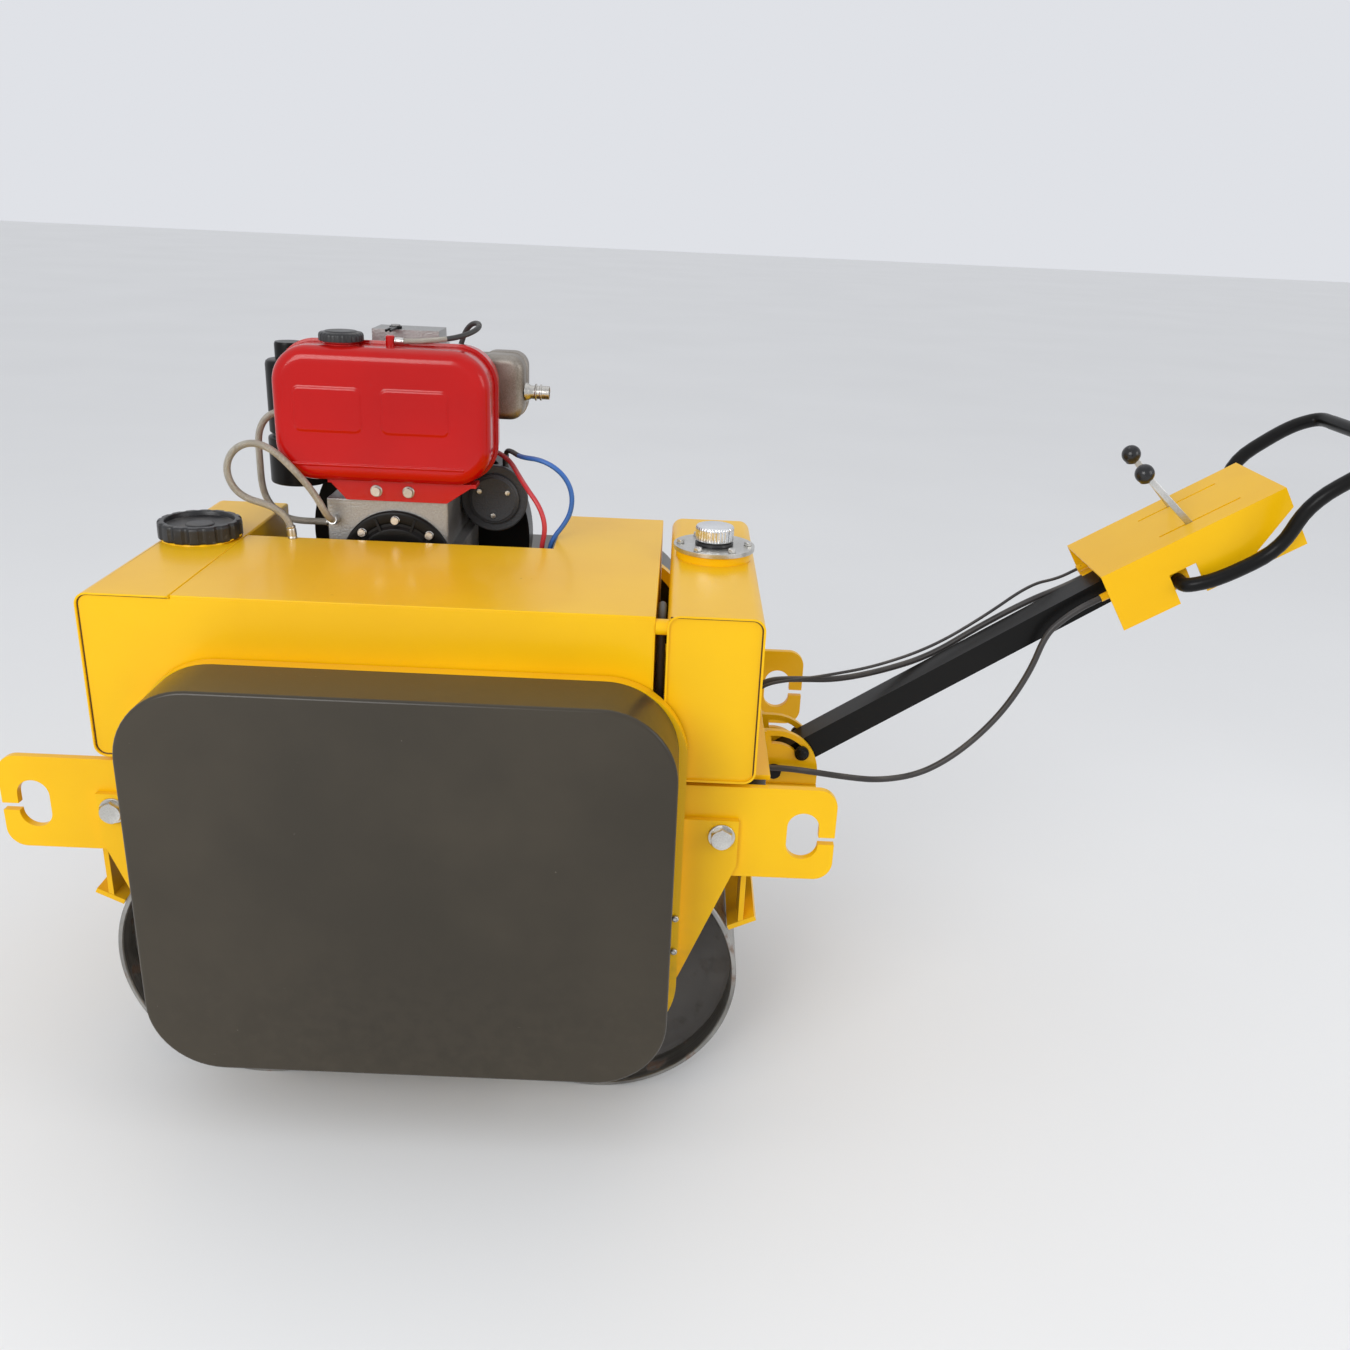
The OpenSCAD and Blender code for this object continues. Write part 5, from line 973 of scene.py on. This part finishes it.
# Fuel tank. Two deep pressed halves seam welded round the middle, in glossy red, with two
# raised panels and a bead on the near half. It sits on a folded bracket with two bolts.
red = enamel("red_enamel", (0.50, 0.003, 0.002), (0.42, 0.0025, 0.002), (0.14, 0.03, 0.03),
             roughness=0.18, coat=0.15, shine=0.25, chips=0.2)
near_y, middle_y = 21.5, 85.75
near_half = [(inset, near_y) for inset in (60, 38, 26)] + round_edge(20, near_y, 8)
seam = [(0, 80), (-0.6, 82.4), (-5, 83), (-5, 87), (-0.6, 87.6), (0, 90)]
flat_sided = tray(-275, 60, 898, 1104, 58,
                  near_half + seam + mirrored(near_half, middle_y), 14, 30, 16)


def raised(x0, x1, z0, z1, r, rise, edge):
    """A pressed pad: a rounded rectangle that rises by a smooth step over its edge."""
    step = np.linspace(0, 1, 6)
    profile = [(0, near_y + 0.3)]
    profile += [(edge * t, near_y - rise * t * t * (3 - 2 * t)) for t in step]
    return tray(x0, x1, z0, z1, r, profile + [(edge + 0.3, near_y - rise)], 8, 12, 12)


pads = [raised(-241.5, -134.3, 974.5, 1045.5, 12, 1.5, 5),
        raised(-107.5, -0.3, 974.5, 1045.5, 12, 1.5, 5),
        raised(-249, 20.7, 922.2, 927.8, 2.7, 1.4, 2.2)]
neck_x, neck_y = -172, 65
neck = [(27, 0), (27, 2), (25, 3), (25, 11), (24.4, 12), (22.5, 12), (22.5, 3)]
post = [(0, 0), (7, 0), (7, 14), (6.4, 15), (5.4, 15.4), (5, 16), (0, 16)]
piece("red_fuel_tank", [flat_sided] + pads + [lathed(neck, 48, "z", (neck_x, neck_y, 1103.5)),
                                              lathed(post, 24, "z", (-97, 66, 1104))],
      red, sharp=48, stands_for=["fuel_tank"])
eased("tank_bracket", 1.2, red)
bracket_bolts = [(x, 44, 882) for x in (-123.4, -72.5)]
piece("bracket_bolts", many(hex_head(14, 8, 1.6, 9.5), bracket_bolts, "-y"),
      zinc)
top = [(0, 0), (25.6, 0), (33.4, 0), (34, 0.8), (34, 8), (33.4, 10.5), (31.5, 12.4), (27, 13.2),
       (25, 13.2), (23.6, 14.6), (20, 15), (0, 15)]
gripped = [(r, h, 1 if r > 31 else 0) for r, h in top]
piece("fuel_filler_cap", [stood(fluted(gripped, 24, 0.9, 240), "z", (neck_x, neck_y, 1109.3))],
      moulded, "fuel_cap_body", sharp=40, stands_for=["fuel_cap"])


# Air cleaner, muffler, fan housing and starter, each bolted to the engine. The cleaner is
# black pressed steel, the muffler is steel that heat has stained, with a turned tail pipe,
# and a guard of welded wire covers the fan's inlet.
cleaner_x, cleaner_y = -295, 200
bowl = [(0, 0), (44, 0), (47, 1.5), (48, 4), (48, 74), (47.4, 77), (44, 79), (40.6, 80), (40.6, 84),
        (0, 84)]
can = [(0, 0), (38, 0), (40, 2), (40, 30), (39, 31), (39, 34), (40, 35), (40, 112), (38.6, 117),
       (35, 119.5), (23, 120), (0, 120)]
throat = [(0, 0), (22.4, 0), (23.4, 1.5), (23.4, 24), (22, 27.6), (0, 27.6)]
intake = [(0, 0), (18, 0), (18, 110), (20, 111), (20, 125), (18, 126), (18, 146), (0, 146)]
cleaner = [lathed(bowl, 64, "z", (cleaner_x + 5, cleaner_y, 856)),
           lathed(can, 64, "z", (cleaner_x, cleaner_y, 940)),
           lathed(throat, 40, "z", (cleaner_x, cleaner_y, 1060)),
           lathed(intake, 40, "x", (cleaner_x, cleaner_y, 1066))]
piece("oil_bath_cleaner", cleaner, black, sharp=40)
wing = [(0, 0), (7.5, 0), (8.5, 1), (8.5, 2.6), (5, 4), (4.6, 9), (3.6, 10), (0, 10)]
disc = [(0, 0), (12.4, 0), (13, 0.8), (13, 2), (12.4, 2.6), (0, 2.6)]
piece("cleaner_wing_nut", [lathed(wing, 28, "-y", (cleaner_x, 160, 966)),
                           lathed(disc, 32, "-y", (cleaner_x, 162, 966))],
      zinc, stands_for=["air_cleaner"])

heat = plated("heat_steel", (0.40, 0.37, 0.33), (0.20, 0.165, 0.13), 0.42)
bright = plated("bright_pipe", (0.72, 0.70, 0.66), (0.50, 0.48, 0.44), 0.25)
can_near_y, can_middle_y = 165, 210
half = [(30, can_near_y)] + round_edge(14, can_near_y, 6)
band = [(0, 205), (-0.01, 206), (-1.2, 207), (-1.2, 213), (-0.01, 214), (0, 215)]
casing = tray(19, 95, 980, 1085, 24, half + band + mirrored(half, can_middle_y), 10, 10, 14)
elbow = lathed([(0, 0), (17, 0), (17, 92), (0, 92)], 32, "x", (-35, can_middle_y, 1067))
piece("muffler_casing", [casing, elbow], heat, sharp=42,
      stands_for=["muffler"])
tail = [(9, 0), (15, 0), (15, 2), (13, 7), (11, 10), (11, 16), (13.4, 16.8), (14, 18),
        (13.4, 19.2), (11, 20), (11, 24), (13, 24.8), (13.4, 26), (13, 27.2), (11, 28),
        (11, 39.4), (10.6, 40), (9.4, 40), (9, 39.4)]
piece("tail_pipe", [stood(ring_section(tail), "x", (95, 187.5, 1025))], bright,
      sharp=40)

eased("blower_shroud", 1.6, black)


def guard_wire(radius, angle, y):
    """A wire through points at a radius and an angle round the crank's line."""
    line = np.stack([crank_x + radius * np.cos(angle), y + 0 * angle,
                     crank_z + radius * np.sin(angle)], 1)
    return sleeve(line, 1.6, (0, 1, 0), 8)[:2]


full_turn = np.linspace(0, 2 * np.pi, 73)
reach = np.linspace(28, 110, 12)
wires = [guard_wire(r, full_turn, 297) for r in (30, 50, 70, 90, 106)]
wires += [guard_wire(reach, 0 * reach + radians(30 + 60 * k), 294.6) for k in range(6)]
piece("fan_guard", wires, zinc, sharp=60)

starter_x, starter_z, starter_y = 46, 850, 150
motor = [(0, 0), (36, 0), (38, 1.4), (40, 1.6), (42, 3.4), (42, 9), (41, 10), (41, 12), (42, 13),
         (42, 70), (41, 71), (41, 74), (42, 75), (42, 95), (0, 95)]
collar = [(0, 0), (54, 0), (56, 1.5), (56, 8.5), (54, 10), (0, 10)]
terminal = [(0, 0), (11, 0), (11, 3), (9, 5.6), (9, 10), (6, 11), (6, 47), (0, 47)]
starter = [lathed(motor, 64, "y", (starter_x, starter_y, starter_z)),
           lathed(collar, 64, "y", (starter_x, starter_y + 10, starter_z))]
starter += [lathed(terminal, 24, "z", (starter_x + x, 197.5, starter_z)) for x in (-14, 14)]
piece("starter_body", starter, iron, sharp=35,
      stands_for=["starter_motor"])
face = [(starter_x + 27 * cos(a), starter_y + 0.4, starter_z + 27 * sin(a))
        for a in (0.5, 2.6, 4.7)]
screw = turned([(0, 0.4), (4.6, 0.4), (4.6, 2.2), (4, 3.2), (0, 3.6)], 20)
piece("starter_screws", many([screw], face, "-y"), zinc)
eased("decompression_lever", 1.0, black)
eased("water_pipes", 0.8, zinc, sharp=40)


# Steering arm. A square tube, painted black, that tilts on a bolt through the pivot bracket
# and is clamped by a second bolt in two arc slots.
eased("steering_arm", 2.2, black)
bracket_y = 38


def bolted_across(head, rod, sides, x, z):
    """A bolt across the bracket: its parts at both outer faces and a rod between them."""
    return (many(head, [(x, bracket_y, z)], "y") + many(head, [(x, -bracket_y, z)], "-y")
            + [lathed(rod, sides, "y", (x, -bracket_y, z))])


pivot_rod = [(0, 0), (7.7, 0), (8, 0.3), (8, 75.7), (7.7, 76), (0, 76)]
piece("pivot_bolt_set", bolted_across(hex_head(22, 8, 1.6, 13), pivot_rod, 32, pivot_x, pivot_z),
      black, stands_for=["pivot_bolt"])
slot_r, slot_angle = 56, radians(38.4)
clamp_x = pivot_x + slot_r * cos(slot_angle)
clamp_z = pivot_z + slot_r * sin(slot_angle)
dome = [(0, 0), (12, 0), (12, 5), (11.4, 6.6), (8.6, 8), (8, 9.5), (6, 11.2), (3, 12), (0, 12)]
clamp_rod = [(0, 0), (6, 0), (6, 76), (0, 76)]
piece("clamp_bolt_set", bolted_across([turned(dome, 32)], clamp_rod, 24, clamp_x, clamp_z),
      black, "arm_body", stands_for=["clamp_bolt"])


# Control box. A folded yellow sheet hood over the arm's end, with two slots for the levers.
# The levers are flat zinc bars with black ball knobs, and the black loop swings at the back.
eased("control_box", 1.4, yellow)
for node in ("near_lever", "far_lever"):
    eased(node, 0.8, zinc)
eased("loop_handle", 0.0, black, sharp=50, flat=False)
ball_plastic = rubbed_plastic("knob_plastic", (0.010, 0.010, 0.011), (0.016, 0.016, 0.017), 0.24)


def ball_on(node, lean, body):
    """A ball knob with a waisted collar, its axis along the lever, in its CAD node's box."""
    low, high = (np.array(corner) * 1000 - DRUMS_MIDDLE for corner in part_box(node))
    middle = (low + high) / 2
    turn = np.linspace(-1.15, np.pi / 2, 28)
    ball_r = 14.4
    profile = [(0, -14.2), (6.6, -14.2), (7.2, -13.6)]
    profile += [(ball_r * cos(a), ball_r * sin(a)) for a in turn[2:-1]] + [(0, ball_r)]
    rings, faces = turned(profile, 48)
    x, y, z = rings.reshape(-1, 3).T
    c, s = cos(lean), sin(lean)
    points = np.stack([x * c + z * s, y, z * c - x * s], 1) + middle
    piece(node + "_ball", [(points, faces)], ball_plastic, body,
          sharp=60, stands_for=[node], flat=False)


ball_on("near_knob", radians(-13), "near_lever_body")
ball_on("far_knob", radians(-9), "far_lever_body")
